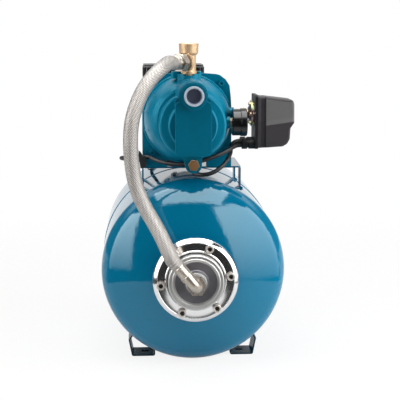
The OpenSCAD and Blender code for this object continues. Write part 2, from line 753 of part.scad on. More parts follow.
module pump_casing() {
    color(teal) difference() {
        union() {
            casing_skin();
            casing_pad();
            casing_bosses();
            casing_hood();
            shoulder_ribs();
        }
        translate([discharge_x, discharge_y, discharge_z]) cylinder(r = tee_neck_r + 2.6, h = ear_h + cut);
        translate([discharge_x - notch_w / 2, discharge_y - boss_r, discharge_z - notch_h])
            cube([notch_w, boss_r, ear_h + notch_h + cut]);
        front_at(pump_x, -joint_front + cut, shaft_z) rotate_extrude($fn = 96)
            polygon(concat([[0, 0]], shoulder(rim_r - 9, body_r1 - cast_wall, rim_t, body_face - cast_wall, 7),
                [[0, body_face - cast_wall]]));
        front_at(pump_x, -joint_front + cut, shaft_z) cylinder(r = rim_r - 9, h = rim_t + 2);
        front_at(nose_x, -joint_front - 40, nose_z) cylinder(r = disc_r - 12, h = nose_len - 40);
        front_at(nose_x, -joint_front - suction_len + 24, suction_z) cylinder(r = port_r, h = 24 + cut);
        front_at(nose_x, -joint_front - suction_len + 46, suction_z) cylinder(r = 12, h = 24);
        translate([nose_x, -joint_front - 93, nose_z]) cylinder(r = 9, h = suction_up + nose_drop);
        translate([discharge_x, discharge_y, discharge_z - 40]) cylinder(r = port_r, h = 40 + cut);
        right_at(gauge_x - 24, gauge_y, gauge_z) cylinder(r = 5.8, h = 25);
        right_at(56, switch_y, switch_z) cylinder(r = 5.8, h = 25);
        front_at(nose_x, lug_y + 14, nose_z - lug_drop) cylinder(r = 6.2, h = 14 + cut);
    }
}

plug_deep = 12;

// Push-in transit plug of the suction port
module suction_plug() {
    color("#9fb0c4") front_at(nose_x, -joint_front - suction_len, suction_z) difference() {
        union() {
            translate([0, 0, -plug_deep]) cylinder(r = port_r - seat, h = plug_deep + seat + 1);
            translate([0, 0, seat]) cylinder(r = 19, h = 3.5);
        }
        translate([0, 0, 2 - plug_deep]) cylinder(r = port_r - 2.2, h = plug_deep + 4);
    }
}

module drain_plug() {
    color(brass) front_at(nose_x, lug_y, nose_z - lug_drop) {
        translate([0, 0, -12]) cylinder(r = 5.9, h = 13);
        translate([0, 0, seat]) cylinder(r = drain_hex / 2 - 0.6, h = 1.5);
        translate([0, 0, 1.5]) rotate([0, 0, -9]) hexagon(drain_hex, 7);
    }
}

// Nozzle and throat of the ejector, held in the nose
module ejector() {
    len = 62;
    color("#e8e4d8") front_at(nose_x, -joint_front - 26, nose_z) difference() {
        union() {
            cylinder(r1 = 16, r2 = 12, h = len - 18);
            translate([0, 0, len - 18]) cylinder(r = disc_r - 12.3, h = 6);
            translate([0, 0, len - 12]) cylinder(r1 = 14, r2 = 7, h = 12);
        }
        translate([0, 0, -cut]) cylinder(r1 = 11, r2 = 5, h = len - 17);
        translate([0, 0, len - 20]) cylinder(r1 = 6, r2 = 3.5, h = 22);
    }
}

impeller_r = rim_r - 28;
vane_r = 24;
impeller_y = 4;

// Stage ring with its return vanes, ahead of the impeller
module diffuser() {
    color(steel) front_at(pump_x, -joint_front, shaft_z) {
        translate([0, 0, impeller_y]) pipe(rim_r - 9.3, impeller_r + 3, 9);
        translate([0, 0, impeller_y + 9]) pipe(rim_r - 10.5, 24, 2.5);
        for (i = [0:7]) rotate([0, 0, i * 45]) translate([30, -1, impeller_y + 11]) cube([32, 2, 5]);
    }
}

// Closed impeller with six back-swept vanes
module impeller() {
    color(brass) front_at(pump_x, -joint_front + 1, shaft_z) difference() {
        union() {
            translate([0, 0, impeller_y - 3]) cylinder(r = impeller_r, h = 1.6);
            translate([0, 0, impeller_y + 5]) pipe(impeller_r, 20, 1.6);
            translate([0, 0, impeller_y - 3]) cylinder(r = 13, h = 10);
            for (i = [0:5]) rotate([0, 0, i * 60]) translate([impeller_r - vane_r, 0, impeller_y - 2])
                linear_extrude(7.5)
                difference() {
                    circle(r = vane_r);
                    circle(r = vane_r - 2.2);
                    translate([-30, -30]) square([60, 30]);
                }
        }
        translate([0, 0, -cut]) cylinder(r = shaft_r - 1 + run_fit, h = 20);
    }
}

seal_r = 13;
bearing_r = 17;
bearing_at = 10;

module shaft_seal() {
    color(dark) front_at(pump_x, adapter_back, shaft_z) pipe(seal_r, shaft_r + run_fit, 8);
}

// Square cast adapter with an arch between its two feet
module adapter() {
    half = adapter_w / 2;
    foot_l = 50;
    edge = [[0, -69], [1.4, -44], [4, -22], [11, -11], [22, -2.5], [29, -0.5], [57, 1.5]];
    color(teal) difference() {
        union() {
            front_at(adapter_mid, adapter_back, 0) linear_extrude(adapter_t) difference() {
                polygon(concat([[-half, plate_top], [half, plate_top]],
                    [for (e = edge) [half - e[0], shaft_z + adapter_up + e[1]]],
                    [for (e = reversed(edge)) [e[0] - half, shaft_z + adapter_up + e[1]]]));
                translate([0, plate_top]) square([76, 26], center = true);
            }
            for (x = [-1, 1])
                translate([adapter_mid + x * (half - 19) - 19, adapter_back - adapter_t, plate_top])
                    cube([38, foot_l, 8]);
            back_at(pump_x, adapter_back - 1, shaft_z) cylinder(r = motor_r - motor_wall - seat, h = 9);
            back_at(pump_x, adapter_back, shaft_z) cylinder(r = bearing_r + 6, h = bearing_at + 11);
            for (x = [-1, 1])
                translate([adapter_mid + x * (half - 4) - 3, adapter_back - 1, plate_top + 7])
                    rotate([90, 0, 90]) linear_extrude(6) polygon([[0, 0], [34, 0], [0, 60]]);
        }
        front_at(pump_x, adapter_back + 20, shaft_z) cylinder(r = seal_r, h = adapter_t + 22);
        back_at(pump_x, adapter_back + bearing_at, shaft_z) cylinder(r = bearing_r + run_fit, h = 14);
        translate([0, 0, plate_top - cut]) for (x = [-1, 1])
            translate([adapter_mid + x * front_hole_x, front_hole_y, 0])
                cylinder(r = foot_hole_r, h = 10, $fn = 32);
        front_at(pump_x, adapter_back, shaft_z) corner_screws() translate([0, 0, -cut])
            cylinder(r = 4.3, h = adapter_t + 2 * cut, $fn = 32);
    }
}

module corner_screws() {
    for (a = [45, 135, 225, 315]) rotate([0, 0, a]) translate([adapter_w / 2 + 7.5, 0, 0]) children();
}

module adapter_screws() {
    color(dark) front_at(pump_x, -joint_front, shaft_z) corner_screws() {
        difference() {
            cylinder(r = 5.6, h = 4);
            translate([0, 0, 1.5]) hexagon(5, 4);
        }
        translate([0, 0, -adapter_t]) cylinder(r = 4, h = adapter_t + 1);
    }
}

module foot_bolts() {
    color(zinc) foot_holes() {
        translate([0, 0, plate_top + 8]) cylinder(r = 8, h = 1.6, $fn = 32);
        translate([0, 0, plate_top + 9.6]) hexagon(13, 5);
        translate([0, 0, plate_top - bracket_t - 5]) cylinder(r = 4, h = 15, $fn = 32);
        translate([0, 0, plate_top - bracket_t - 5]) hexagon(13, 5);
    }
}

module motor_housing() {
    color(teal) back_at(pump_x, adapter_back, shaft_z) difference() {
        union() {
            linear_extrude(motor_len) union() {
                circle(r = motor_r, $fn = 96);
                for (i = [0:fin_count - 1]) rotate((i + 0.5) * 360 / fin_count)
                    translate([motor_r - 1, -1.1]) square([fin_h + 1, 2.2]);
            }
            cylinder(r = motor_r + fin_h, h = 8, $fn = 96);
            translate([-45, -motor_r - 3, 47]) cube([78, 20, 88]);
            translate([-34, motor_r - 12, 94]) cube([68, 12 + 16, 38]);
        }
        translate([0, 0, -cut]) cylinder(r = motor_r - motor_wall, h = motor_len + 2 * cut, $fn = 96);
        translate([-52, -motor_r - 3 - fin_h, 44]) cube([90, fin_h, 94]);
    }
}

rotor_r = 30;
stack_from = 40;
stack_len = 76;

module stator() {
    bore = rotor_r + free_gap;
    color(steel) back_at(pump_x, adapter_back, shaft_z) {
        translate([0, 0, stack_from]) pipe(motor_r - motor_wall - seat, bore, stack_len);
        translate([0, 0, stack_from - 16]) pipe(46, bore + 3, 16);
        translate([0, 0, stack_from + stack_len]) pipe(46, bore + 3, 16);
    }
}

module rotor() {
    color(steel) back_at(pump_x, adapter_back, shaft_z) translate([0, 0, stack_from])
        pipe(rotor_r, shaft_r + run_fit, stack_len);
}

// Stepped shaft from the impeller's nut to the fan
module motor_shaft() {
    nut_y = adapter_t + impeller_y + 6.3;
    color(steel) back_at(pump_x, adapter_back, shaft_z) {
        translate([0, 0, -nut_y - 8]) cylinder(r = shaft_r - 1, h = nut_y + 8);
        translate([0, 0, -adapter_t + 1]) cylinder(r = shaft_r, h = motor_len + 26 + adapter_t - 1);
        translate([0, 0, -nut_y - 6]) hexagon(16, 6);
    }
}

module shaft_bearings() {
    color(steel) back_at(pump_x, adapter_back, shaft_z) {
        translate([0, 0, bearing_at]) pipe(bearing_r, shaft_r + run_fit, 11);
        translate([0, 0, motor_len - 14]) pipe(bearing_r, shaft_r + run_fit, 11);
    }
}

module rear_shield() {
    color(steel) back_at(pump_x, adapter_back + motor_len, shaft_z) {
        difference() {
            union() {
                cylinder(r = motor_r, h = 5);
                translate([0, 0, -15]) cylinder(r = bearing_r + 5, h = 16);
            }
            translate([0, 0, -15 - cut]) cylinder(r = bearing_r + run_fit, h = 13 + cut);
            translate([0, 0, -20]) cylinder(r = 10, h = 30);
        }
        for (i = [0:3]) rotate([0, 0, i * 90]) translate([0, 0, -7])
            linear_extrude(8) translate([bearing_r + 4, -2])
                square([motor_r - motor_wall - bearing_r - 4 - seat, 4]);
    }
}

fan_at = 11;

module cooling_fan() {
    color(dark) back_at(pump_x, motor_back + fan_at, shaft_z) {
        pipe(14, shaft_r + run_fit, 14);
        pipe(motor_r - 12, shaft_r + 5, 2.5);
        for (i = [0:6]) rotate([0, 0, i * 360 / 7]) translate([shaft_r + 5.5, -1, 1])
            cube([motor_r - shaft_r - 18.5, 2, 12]);
    }
}

// Moulded fan cover with a ring of slots in its end
module fan_cover() {
    r = motor_r + fin_h + seat + 2.2;
    lap = 14;
    color(dark) back_at(pump_x, motor_back - lap, shaft_z) difference() {
        rotate_extrude($fn = 96) polygon(concat([[r - 2.2, 0], [r, 0]],
            arc_points(r - 10, fan_cover_len - 10, 10, 0, 90, 6), [[0, fan_cover_len],
            [0, fan_cover_len - 2.4], [r - 10, fan_cover_len - 2.4]],
            arc_points(r - 10, fan_cover_len - 10, 7.6, 75, 0, 5)));
        translate([0, 0, fan_cover_len - 4]) linear_extrude(6) {
            for (k = [-4:4]) translate([k * 10, 0]) slot_2d_tall(2 * sqrt(pow(r - 16, 2) - pow(k * 10, 2)), 5);
        }
    }
}

module slot_2d_tall(l, w) {
    difference() {
        rotate(90) slot_2d(l, w);
        square([w + 2, 4], center = true);
    }
}

module motor_foot() {
    w = 2 * rear_hole_x + 22;
    color(dark) difference() {
        union() {
            translate([pump_x - w / 2, rear_hole_y - 13, plate_top]) cube([w, 26, 8]);
            translate([pump_x - 17, rear_hole_y - 13, plate_top]) cube([34, 26, shaft_h - motor_r - 16 - seat]);
        }
        for (x = [-1, 1]) translate([pump_x + x * rear_hole_x, rear_hole_y, plate_top - cut])
            cylinder(r = foot_hole_r, h = 10, $fn = 32);
    }
}

// Lower half of the terminal box, with the lead's gland at its back
module terminal_box() {
    color(dark) translate([box_x, box_y, box_base]) difference() {
        union() {
            linear_extrude(15) rounded_rect(box_w - 22, box_len - 10, 6);
            translate([0, 0, 9]) linear_extrude(6) rounded_rect(box_w - 6, box_len - 4, 6);
            back_at(-27, box_len / 2 - 8, 7.5) cylinder(r = 6.8, h = 14);
            back_at(-27, box_len / 2 + 3, 7.5) hexagon(13, 8);
        }
        translate([0, 0, 3]) linear_extrude(20) rounded_rect(box_w - 28, box_len - 18, 4);
        back_at(-27, box_len / 2 - 14, 7.5) cylinder(r = lead_d / 2 + 0.2, h = 40);
    }
}

// Lid with a framed, recessed front
module terminal_lid() {
    w = 2.6;
    color(dark) translate([box_x, box_y, lid_base]) difference() {
        union() {
            linear_extrude(lid_h - 4) rounded_rect(box_w, box_len, 5);
            translate([0, 0, lid_h - 4]) linear_extrude(4) rounded_rect(box_w - 3, box_len - 3, 5);
        }
        translate([0, 0, -cut]) linear_extrude(lid_h - w + cut)
            rounded_rect(box_w - 2 * w - 4, box_len - 2 * w - 4, 4);
        translate([0, -box_len / 2, lid_h / 2 - 1]) cube([box_w - 16, 3, lid_h - 9], center = true);
    }
}

cap_r = 13.5;

module capacitor() {
    color(steel) right_at(box_x - 32, box_y + 29 - box_len / 2, box_base + 3 + seat + cap_r)
        cylinder(r = cap_r, h = 62);
}

gauge_r = gauge_d / 2;
bezel_l = 12;
dial_at = gauge_depth - 4;

module gauge_case() {
    r = gauge_r - 1.3;
    color(dark) right_at(gauge_x + 3.5, gauge_y, gauge_z) rotate_extrude($fn = 96)
        polygon([[0, 0], [r - 2, 0], [r, 2], [r, gauge_depth - bezel_l], [gauge_r - 0.5, gauge_depth - bezel_l],
            [gauge_r, gauge_depth - bezel_l + 1], [gauge_r, gauge_depth - 1.5], [gauge_r - 1.5, gauge_depth],
            [gauge_r - 3.5, gauge_depth], [gauge_r - 4, gauge_depth - 1], [r - 2, gauge_depth - 2],
            [r - 2, 3], [0, 3]]);
}

module gauge_dial() {
    color("white") right_at(gauge_x + 3.5 + dial_at - 1, gauge_y, gauge_z) difference() {
        cylinder(r = gauge_r - 3.6, h = 1);
        translate([0, 0, -cut]) cylinder(r = 1.6, h = 4, $fn = 32);
    }
}

// The pointer turns from the stop at the lower left of the dial
module gauge_pointer() {
    color(dark) right_at(gauge_x + 3.5 + dial_at - 3.3, gauge_y, gauge_z) rotate([0, 0, -45]) {
        cylinder(r = 1.3, h = 5, $fn = 32);
        translate([0, 0, 3.6]) cylinder(r = 3, h = 1.2, $fn = 32);
        translate([0, 0, 3.6]) linear_extrude(0.8) polygon([[0, -1.2], [gauge_r - 8, -0.3],
            [gauge_r - 8, 0.3], [0, 1.2], [-6, 1.6], [-6, -1.6]]);
    }
}

module gauge_lens() {
    color("#dfe8ea", 0.4) right_at(gauge_x + 3.5 + gauge_depth - 1.8, gauge_y, gauge_z)
        cylinder(r = gauge_r - 4.2, h = 1.2);
}

module gauge_stem() {
    color(brass) right_at(gauge_x, gauge_y, gauge_z) {
        hexagon(14, 3.2);
        translate([0, 0, -12]) cylinder(r = 5.6, h = 12.5);
    }
}

module switch_nipple() {
    color(brass) right_at(80, switch_y, switch_z) {
        translate([0, 0, -12]) cylinder(r = 5.6, h = 13);
        cylinder(r = 7.5, h = switch_x - 80);
        translate([0, 0, 13]) hexagon(17, 9);
    }
}

// Plated diaphragm housing clamped by its screws
module diaphragm_housing() {
    color("#c9b458") right_at(switch_x, switch_y, switch_z) {
        cylinder(r1 = 10, r2 = diaphragm_r - 5, h = 5);
        translate([0, 0, 5]) cylinder(r = diaphragm_r, h = 3);
        translate([0, 0, 8]) cylinder(r = diaphragm_r - 4, h = 3);
        for (i = [0:5]) rotate([0, 0, 30 + i * 60]) translate([diaphragm_r - 4.2, 0, 2]) hexagon(6, 8.7);
        cylinder(r = 3, h = lever_x - switch_x - 0.9);
    }
}

module switch_base() {
    t = cover_x - switch_x - 11;
    y0 = switch_y - cover_w / 2;
    color(dark) difference() {
        union() {
            translate([cover_x - t, y0 - 1.5, cover_z - 1]) rotate([90, 0, 90]) linear_extrude(t - seat)
                translate([cover_w / 2 + 1.5, cover_h / 2 + 1]) rounded_rect(cover_w + 3, cover_h + 2, 5);
            for (y = [-1, 1]) translate([cover_x - t, switch_y + y * 17.5 - 1.5, pivot_z - 5])
                cube([t + 12, 3, 10]);
        }
        translate([lever_x + 1, switch_y + 30, pivot_z]) rotate([90, 0, 0])
            cylinder(r = pin_r + run_fit, h = 60, $fn = 32);
        for (y = gland_ys) right_at(cover_x - 20, y, gland_z) cylinder(r = 5.4, h = 40);
        right_at(cover_x - 20, switch_y, switch_z) cylinder(r = 7, h = 40);
    }
}

// Side outline of the switch cover, from its open edge to its nose
function cover_outline() = [[0, 0], [48, 3], [56, 8], [61, 17], [62, 38], [cover_len, 48],
    [cover_len, 83], [cover_len - 2, 89], [cover_len - 5, 92], [16, cover_h - 2], [0, cover_h]];

module switch_cover() {
    color("#4a494c") translate([cover_x, switch_y + cover_w / 2, cover_z]) rotate([90, 0, 0])
        difference() {
            linear_extrude(cover_w) polygon(cover_outline());
            translate([-cut, 0, cover_wall]) linear_extrude(cover_w - 2 * cover_wall)
                offset(delta = -cover_wall) polygon(cover_outline());
            translate([-cut, cover_wall, cover_wall])
                cube([4, cover_h - 2 * cover_wall, cover_w - 2 * cover_wall]);
        }
}

lever_x = 130;
pin_r = 2.4;
pivot_z = switch_z + 19;
spring_z = switch_z - 22;

// The lever rocks on its pin when the diaphragm lifts it against the range spring
module switch_lever() {
    color(zinc) {
        difference() {
            translate([lever_x, switch_y - 14, spring_z - 14]) cube([2, 28, pivot_z - spring_z + 14]);
            right_at(lever_x - 2, switch_y, spring_z) cylinder(r = 5.5, h = 8, $fn = 32);
        }
        front_at(lever_x + 1, switch_y + 19, pivot_z) cylinder(r = pin_r, h = 38, $fn = 32);
    }
}

// Contacts and wire screws below the lever
module contact_block() {
    color("#4a3a30") difference() {
        translate([cover_x - seat, switch_y - 22, cover_z + 15.5]) cube([14, 44, 11]);
        for (y = [-16, -5.5, 5.5, 16]) right_at(cover_x + 9, switch_y + y, cover_z + 21)
            cylinder(r = 4, h = 8, $fn = 32);
    }
}

// Range spring on its stud, with the adjusting nut
module switch_spring() {
    rings = 8;
    at = lever_x + 2 + seat;
    color(zinc) right_at(0, switch_y, spring_z) {
        translate([0, 0, cover_x - seat]) cylinder(r = 3, h = at + 39 - cover_x);
        translate([0, 0, at]) rotate_extrude() polygon(concat([[2.5, 0]],
            [for (i = [0:2 * rings]) [i % 2 == 0 ? 7 : 8.6, i * 1.8]], [[2.5, 3.6 * rings]]));
        translate([0, 0, at + 3.6 * rings]) hexagon(13, 5);
    }
}

module cable_glands() {
    color(dark) for (y = gland_ys) right_at(94, y, gland_z) difference() {
        union() {
            hexagon(17, 10);
            translate([0, 0, 10]) cylinder(r = 7.5, h = 4);
            translate([0, 0, 13]) cylinder(r = gland_r, h = cover_x - 94 - 13 - 6 - seat);
            translate([0, 0, 13]) cylinder(r = 5.2, h = cover_x - 94 - 13 + 4);
        }
        translate([0, 0, -cut]) cylinder(r = lead_d / 2 + 0.2, h = 14);
    }
}

// Rubber clip on the adapter's lower left corner
module lead_clip() {
    color(dark) difference() {
        front_at(adapter_mid - adapter_w / 2, seat - 0.6 - joint_front, plate_top) linear_extrude(14)
            polygon([[-4, -0.8], [2.7, -0.2], [7.6, 3.6], [7.6, 11.3], [6.7, 19.1], [0.1, 23], [-2.7, 28.8],
                [-7.3, 32.7], [-7.4, 19.2], [-5.8, 11.4]]);
        right_at(-106, -120, 390.5) cylinder(r = lead_d / 2 + 0.3, h = 22);
    }
}

module motor_lead() {
    start = [96, gland_ys[1], gland_z];
    box_end = [box_x - 27, box_y + box_len / 2 + 4, box_base + 7.5];
    color(dark) tube(concat([start], motor_route, [box_end + [0, 16, 0], box_end]),
        lead_d / 2, lead_d / 2, unit([1, 1, 1]), tube_sides);
}

module mains_lead() {
    start = [96, gland_ys[0], gland_z];
    color(dark) tube(concat([start], mains_route), lead_d / 2, lead_d / 2, unit([1, 1, 1]), tube_sides);
}

module mains_coil() {
    color(dark) translate([coil_c[0], coil_c[1], 0]) rotate_extrude() translate([coil_r, coil_h / 2])
        rounded_rect(coil_w, coil_h, 4);
}

// Moulded plug with two round pins, on its side
module mains_plug() {
    color(dark) front_at(coil_c[0] + coil_r, coil_c[1] - 34.8, plug_r) difference() {
        union() {
            cylinder(r1 = 8, r2 = 12, h = 16);
            translate([0, 0, 16]) cylinder(r1 = 12, r2 = plug_r, h = 8);
            translate([0, 0, 24]) cylinder(r = plug_r, h = 16);
            for (x = [-1, 1]) translate([x * 9.5, 0, 39]) cylinder(r = 2.4, h = 19, $fn = 32);
        }
        translate([0, 0, -cut]) cylinder(r = lead_d / 2, h = 8);
    }
}

tank_front_shell();
tank_rear_shell();
girth_weld();
tank_feet();
bracket_plate();
bracket_legs();
tank_membrane();
flange_ring();
flange_bolts();
flange_cap();
port_nipple();
hose_elbow();
hose_ferrules();
braided_hose();
swivel_nut();
brass_tee();
air_valve();
air_valve_cap();
pump_casing();
suction_plug();
drain_plug();
ejector();
diffuser();
impeller();
shaft_seal();
adapter();
adapter_screws();
foot_bolts();
motor_housing();
stator();
rotor();
motor_shaft();
shaft_bearings();
rear_shield();
cooling_fan();
fan_cover();
motor_foot();
terminal_box();
terminal_lid();
capacitor();
gauge_case();
gauge_dial();
gauge_pointer();
gauge_lens();
gauge_stem();
switch_nipple();
diaphragm_housing();
switch_base();
switch_cover();
switch_lever();
switch_spring();
contact_block();
cable_glands();
lead_clip();
motor_lead();
mains_lead();
mains_coil();
mains_plug();
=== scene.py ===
"""Blender scene of a jet pump that stands on its horizontal pressure tank.

Lengths in the pieces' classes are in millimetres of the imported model's frame, with +X to the right, +Y to
the rear and +Z up. Finishes, lamps, the camera and the floor are in metres, and so are the written meshes.
"""

import logging
import math
from dataclasses import dataclass
from enum import Enum
from typing import Any, Callable, Optional, Sequence

import bmesh
import bpy
from mathutils import Matrix, Vector


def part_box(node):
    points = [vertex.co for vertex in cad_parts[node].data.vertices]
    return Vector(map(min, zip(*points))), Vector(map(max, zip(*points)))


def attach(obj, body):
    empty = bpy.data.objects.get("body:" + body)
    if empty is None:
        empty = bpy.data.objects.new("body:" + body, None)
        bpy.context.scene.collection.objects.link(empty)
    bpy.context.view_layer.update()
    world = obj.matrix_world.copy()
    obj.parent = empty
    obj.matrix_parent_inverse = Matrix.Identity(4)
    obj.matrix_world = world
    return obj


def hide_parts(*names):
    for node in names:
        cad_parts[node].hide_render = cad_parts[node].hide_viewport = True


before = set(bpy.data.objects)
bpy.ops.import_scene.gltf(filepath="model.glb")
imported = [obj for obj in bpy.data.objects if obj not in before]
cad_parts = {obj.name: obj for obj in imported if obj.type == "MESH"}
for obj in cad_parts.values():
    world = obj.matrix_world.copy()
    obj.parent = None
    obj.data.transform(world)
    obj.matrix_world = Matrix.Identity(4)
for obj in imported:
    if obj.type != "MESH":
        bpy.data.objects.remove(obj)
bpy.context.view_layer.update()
LOG = logging.getLogger("jet_pump")
MM = 0.001
Colour = tuple[float, float, float, float]
Point = tuple[float, float, float]
Span = tuple[float, float]
Pairs = list[tuple[float, float]]
Profile = Sequence[tuple[float, float]]
WHITE: Colour = (1.0, 1.0, 1.0, 1.0)
NO_WIDTH = 1e-6


class Way(Enum):
    """Ways that the turned pieces face."""

    FRONT = (0.0, -1.0, 0.0)
    REAR = (0.0, 1.0, 0.0)


class Body(Enum):
    """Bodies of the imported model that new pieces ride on."""

    FRAME = "frame"
    COVER = "cover"
    PLUG = "transit_plug"


class Slot(Enum):
    """The record's material slots named for the new pieces."""

    PAINT = "paint"
    CHROME = "chrome"
    ZINC = "zinc"
    NICKEL = "nickel"
    BRAID = "braid"
    RUBBER = "rubber"
    DIAL = "dial"
    PLUG = "plug_plastic"
    COVER = "cover_plastic"


def tint(code: str) -> Colour:
    """Turns an sRGB code into a linear colour.

    Args:
        code: Six hexadecimal digits.

    Returns:
        The linear colour with full alpha.
    """
    parts = [int(code[k:k + 2], 16) / 255 for k in (0, 2, 4)]
    line = [c / 12.92 if c <= 0.04045 else ((c + 0.055) / 1.055) ** 2.4 for c in parts]
    return (line[0], line[1], line[2], 1.0)


def ramp(value: float, span: float) -> float:
    """Share of a span that a value has passed, from 0 to 1."""
    return min(max(value / span, 0), 1)


def arc(cx: float, cy: float, r: float, start: float, end: float, steps: int) -> Pairs:
    """Gives points along a circular arc.

    Args:
        cx: First coordinate of the centre.
        cy: Second coordinate of the centre.
        r: Radius.
        start: First angle in degrees.
        end: Last angle in degrees.
        steps: Number of chords.

    Returns:
        The arc's points.
    """
    turns = [math.radians(start + (end - start) * k / steps) for k in range(steps + 1)]
    return [(cx + r * math.cos(t), cy + r * math.sin(t)) for t in turns]


def rounded(points: Profile, radii: Sequence[float], steps: int, closed: bool = False) -> Pairs:
    """Rounds the corners of a polyline or polygon.

    Args:
        points: The corners.
        radii: A radius for each corner, 0 for a sharp one.
        steps: Chords in each rounded corner.
        closed: Whether the last corner joins the first.

    Returns:
        The points of the rounded line.
    """
    out: Pairs = []
    count = len(points)
    most = 0.49  # of a side, so that the roundings at its two ends never meet
    for k, corner in enumerate(points):
        if radii[k] <= 0 or (not closed and k in (0, count - 1)):
            out.append((corner[0], corner[1]))
            continue
        here = Vector(corner)
        before = Vector(points[k - 1]) - here
        after = Vector(points[(k + 1) % count]) - here
        half = before.angle(after) / 2
        reach = min(radii[k] / math.tan(half), before.length * most, after.length * most)
        a = here + before.normalized() * reach
        b = here + after.normalized() * reach
        for j in range(steps + 1):
            t = j / steps
            p = a * (1 - t) ** 2 + here * 2 * t * (1 - t) + b * t ** 2
            out.append((p.x, p.y))
    return out


def smooth_route(points: Sequence[Sequence[float]], passes: int = 3) -> list[Vector]:
    """Puts points between those of a route, on a Catmull-Rom curve.

    Args:
        points: The route's own points.
        passes: Times that the number of spans is doubled.

    Returns:
        The finer route.
    """
    line = [Vector(p) for p in points]
    for _ in range(passes):
        finer: list[Vector] = []
        for k in range(len(line) - 1):
            a, b = line[max(k - 1, 0)], line[k]
            c, d = line[k + 1], line[min(k + 2, len(line) - 1)]
            finer += [b, (9 * b + 9 * c - a - d) / 16]
        line = finer + [line[-1]]
    return line


def route_length(line: Sequence[Vector]) -> float:
    """Length of a route of millimetre points, in metres."""
    return sum((b - a).length for a, b in zip(line, line[1:])) * MM


def add_object(name: str, data: Any) -> bpy.types.Object:
    """Puts new data in the scene as an object.

    Args:
        name: The object's name.
        data: Its mesh, curve, camera or lamp.

    Returns:
        The object.
    """
    obj = bpy.data.objects.new(name, data)
    bpy.context.scene.collection.objects.link(obj)
    return obj


def operator_pair(operation: str) -> tuple[Callable[..., "Sock"], Callable[..., "Sock"]]:
    """Makes a socket's operator and its reflected form.

    Args:
        operation: The Math node's operation.

    Returns:
        The operator with the socket first, and the one with the socket second.
    """

    def plain(sock: "Sock", other: Any) -> "Sock":
        """The socket first."""
        return sock.math(operation, sock, other)

    def reflected(sock: "Sock", other: Any) -> "Sock":
        """The socket second, so that 1 - mask works."""
        return sock.math(operation, other, sock)

    return plain, reflected


class Sock:
    """A shader socket whose operators add Math nodes."""

    __add__, __radd__ = operator_pair("ADD")
    __sub__, __rsub__ = operator_pair("SUBTRACT")
    __mul__, __rmul__ = operator_pair("MULTIPLY")
    __truediv__, __rtruediv__ = operator_pair("DIVIDE")
    __pow__, __rpow__ = operator_pair("POWER")

    def __init__(self, nodes: "Nodes", link: Any) -> None:
        """Keeps the node tree and the output socket."""
        self.nodes = nodes
        self.link = link

    def math(self, operation: str, *values: Any) -> "Sock":
        """Adds one Math node on one or two values."""
        return self.nodes.node("ShaderNodeMath", {"operation": operation}, dict(enumerate(values)))

    def sine(self) -> "Sock":
        """Sine of the value in radians."""
        return self.math("SINE", self)

    def wave(self) -> "Sock":
        """Sine of the value, raised to run from 0 to 1."""
        return self.sine() * 0.5 + 0.5

    def size(self) -> "Sock":
        """Absolute value."""
        return self.math("ABSOLUTE", self)

    def angle(self, other: "Sock") -> "Sock":
        """Angle in radians whose tangent is this value over the other."""
        return self.math("ARCTAN2", self, other)

    def above(self, low: float, high: float) -> "Sock":
        """Smooth step of the value.

        Args:
            low: Where the step starts, at 0.
            high: Where it ends, at 1.

        Returns:
            The step from 0 to 1.
        """
        values = {"Value": self, "From Min": low, "From Max": high}
        return self.nodes.node("ShaderNodeMapRange", {"interpolation_type": "SMOOTHSTEP"}, values)

    def beyond(self, edge: float, soft: float) -> "Sock":
        """Smooth step about an edge, with half its width given."""
        return self.above(edge - soft, edge + soft)

    def between(self, low: float, high: float, soft: float) -> "Sock":
        """Mask of a span with soft ends.

        Args:
            low: Where the span starts.
            high: Where it ends.
            soft: Half the width of each soft end.

        Returns:
            The mask, 1 inside the span.
        """
        return self.beyond(low, soft) * (1 - self.beyond(high, soft))


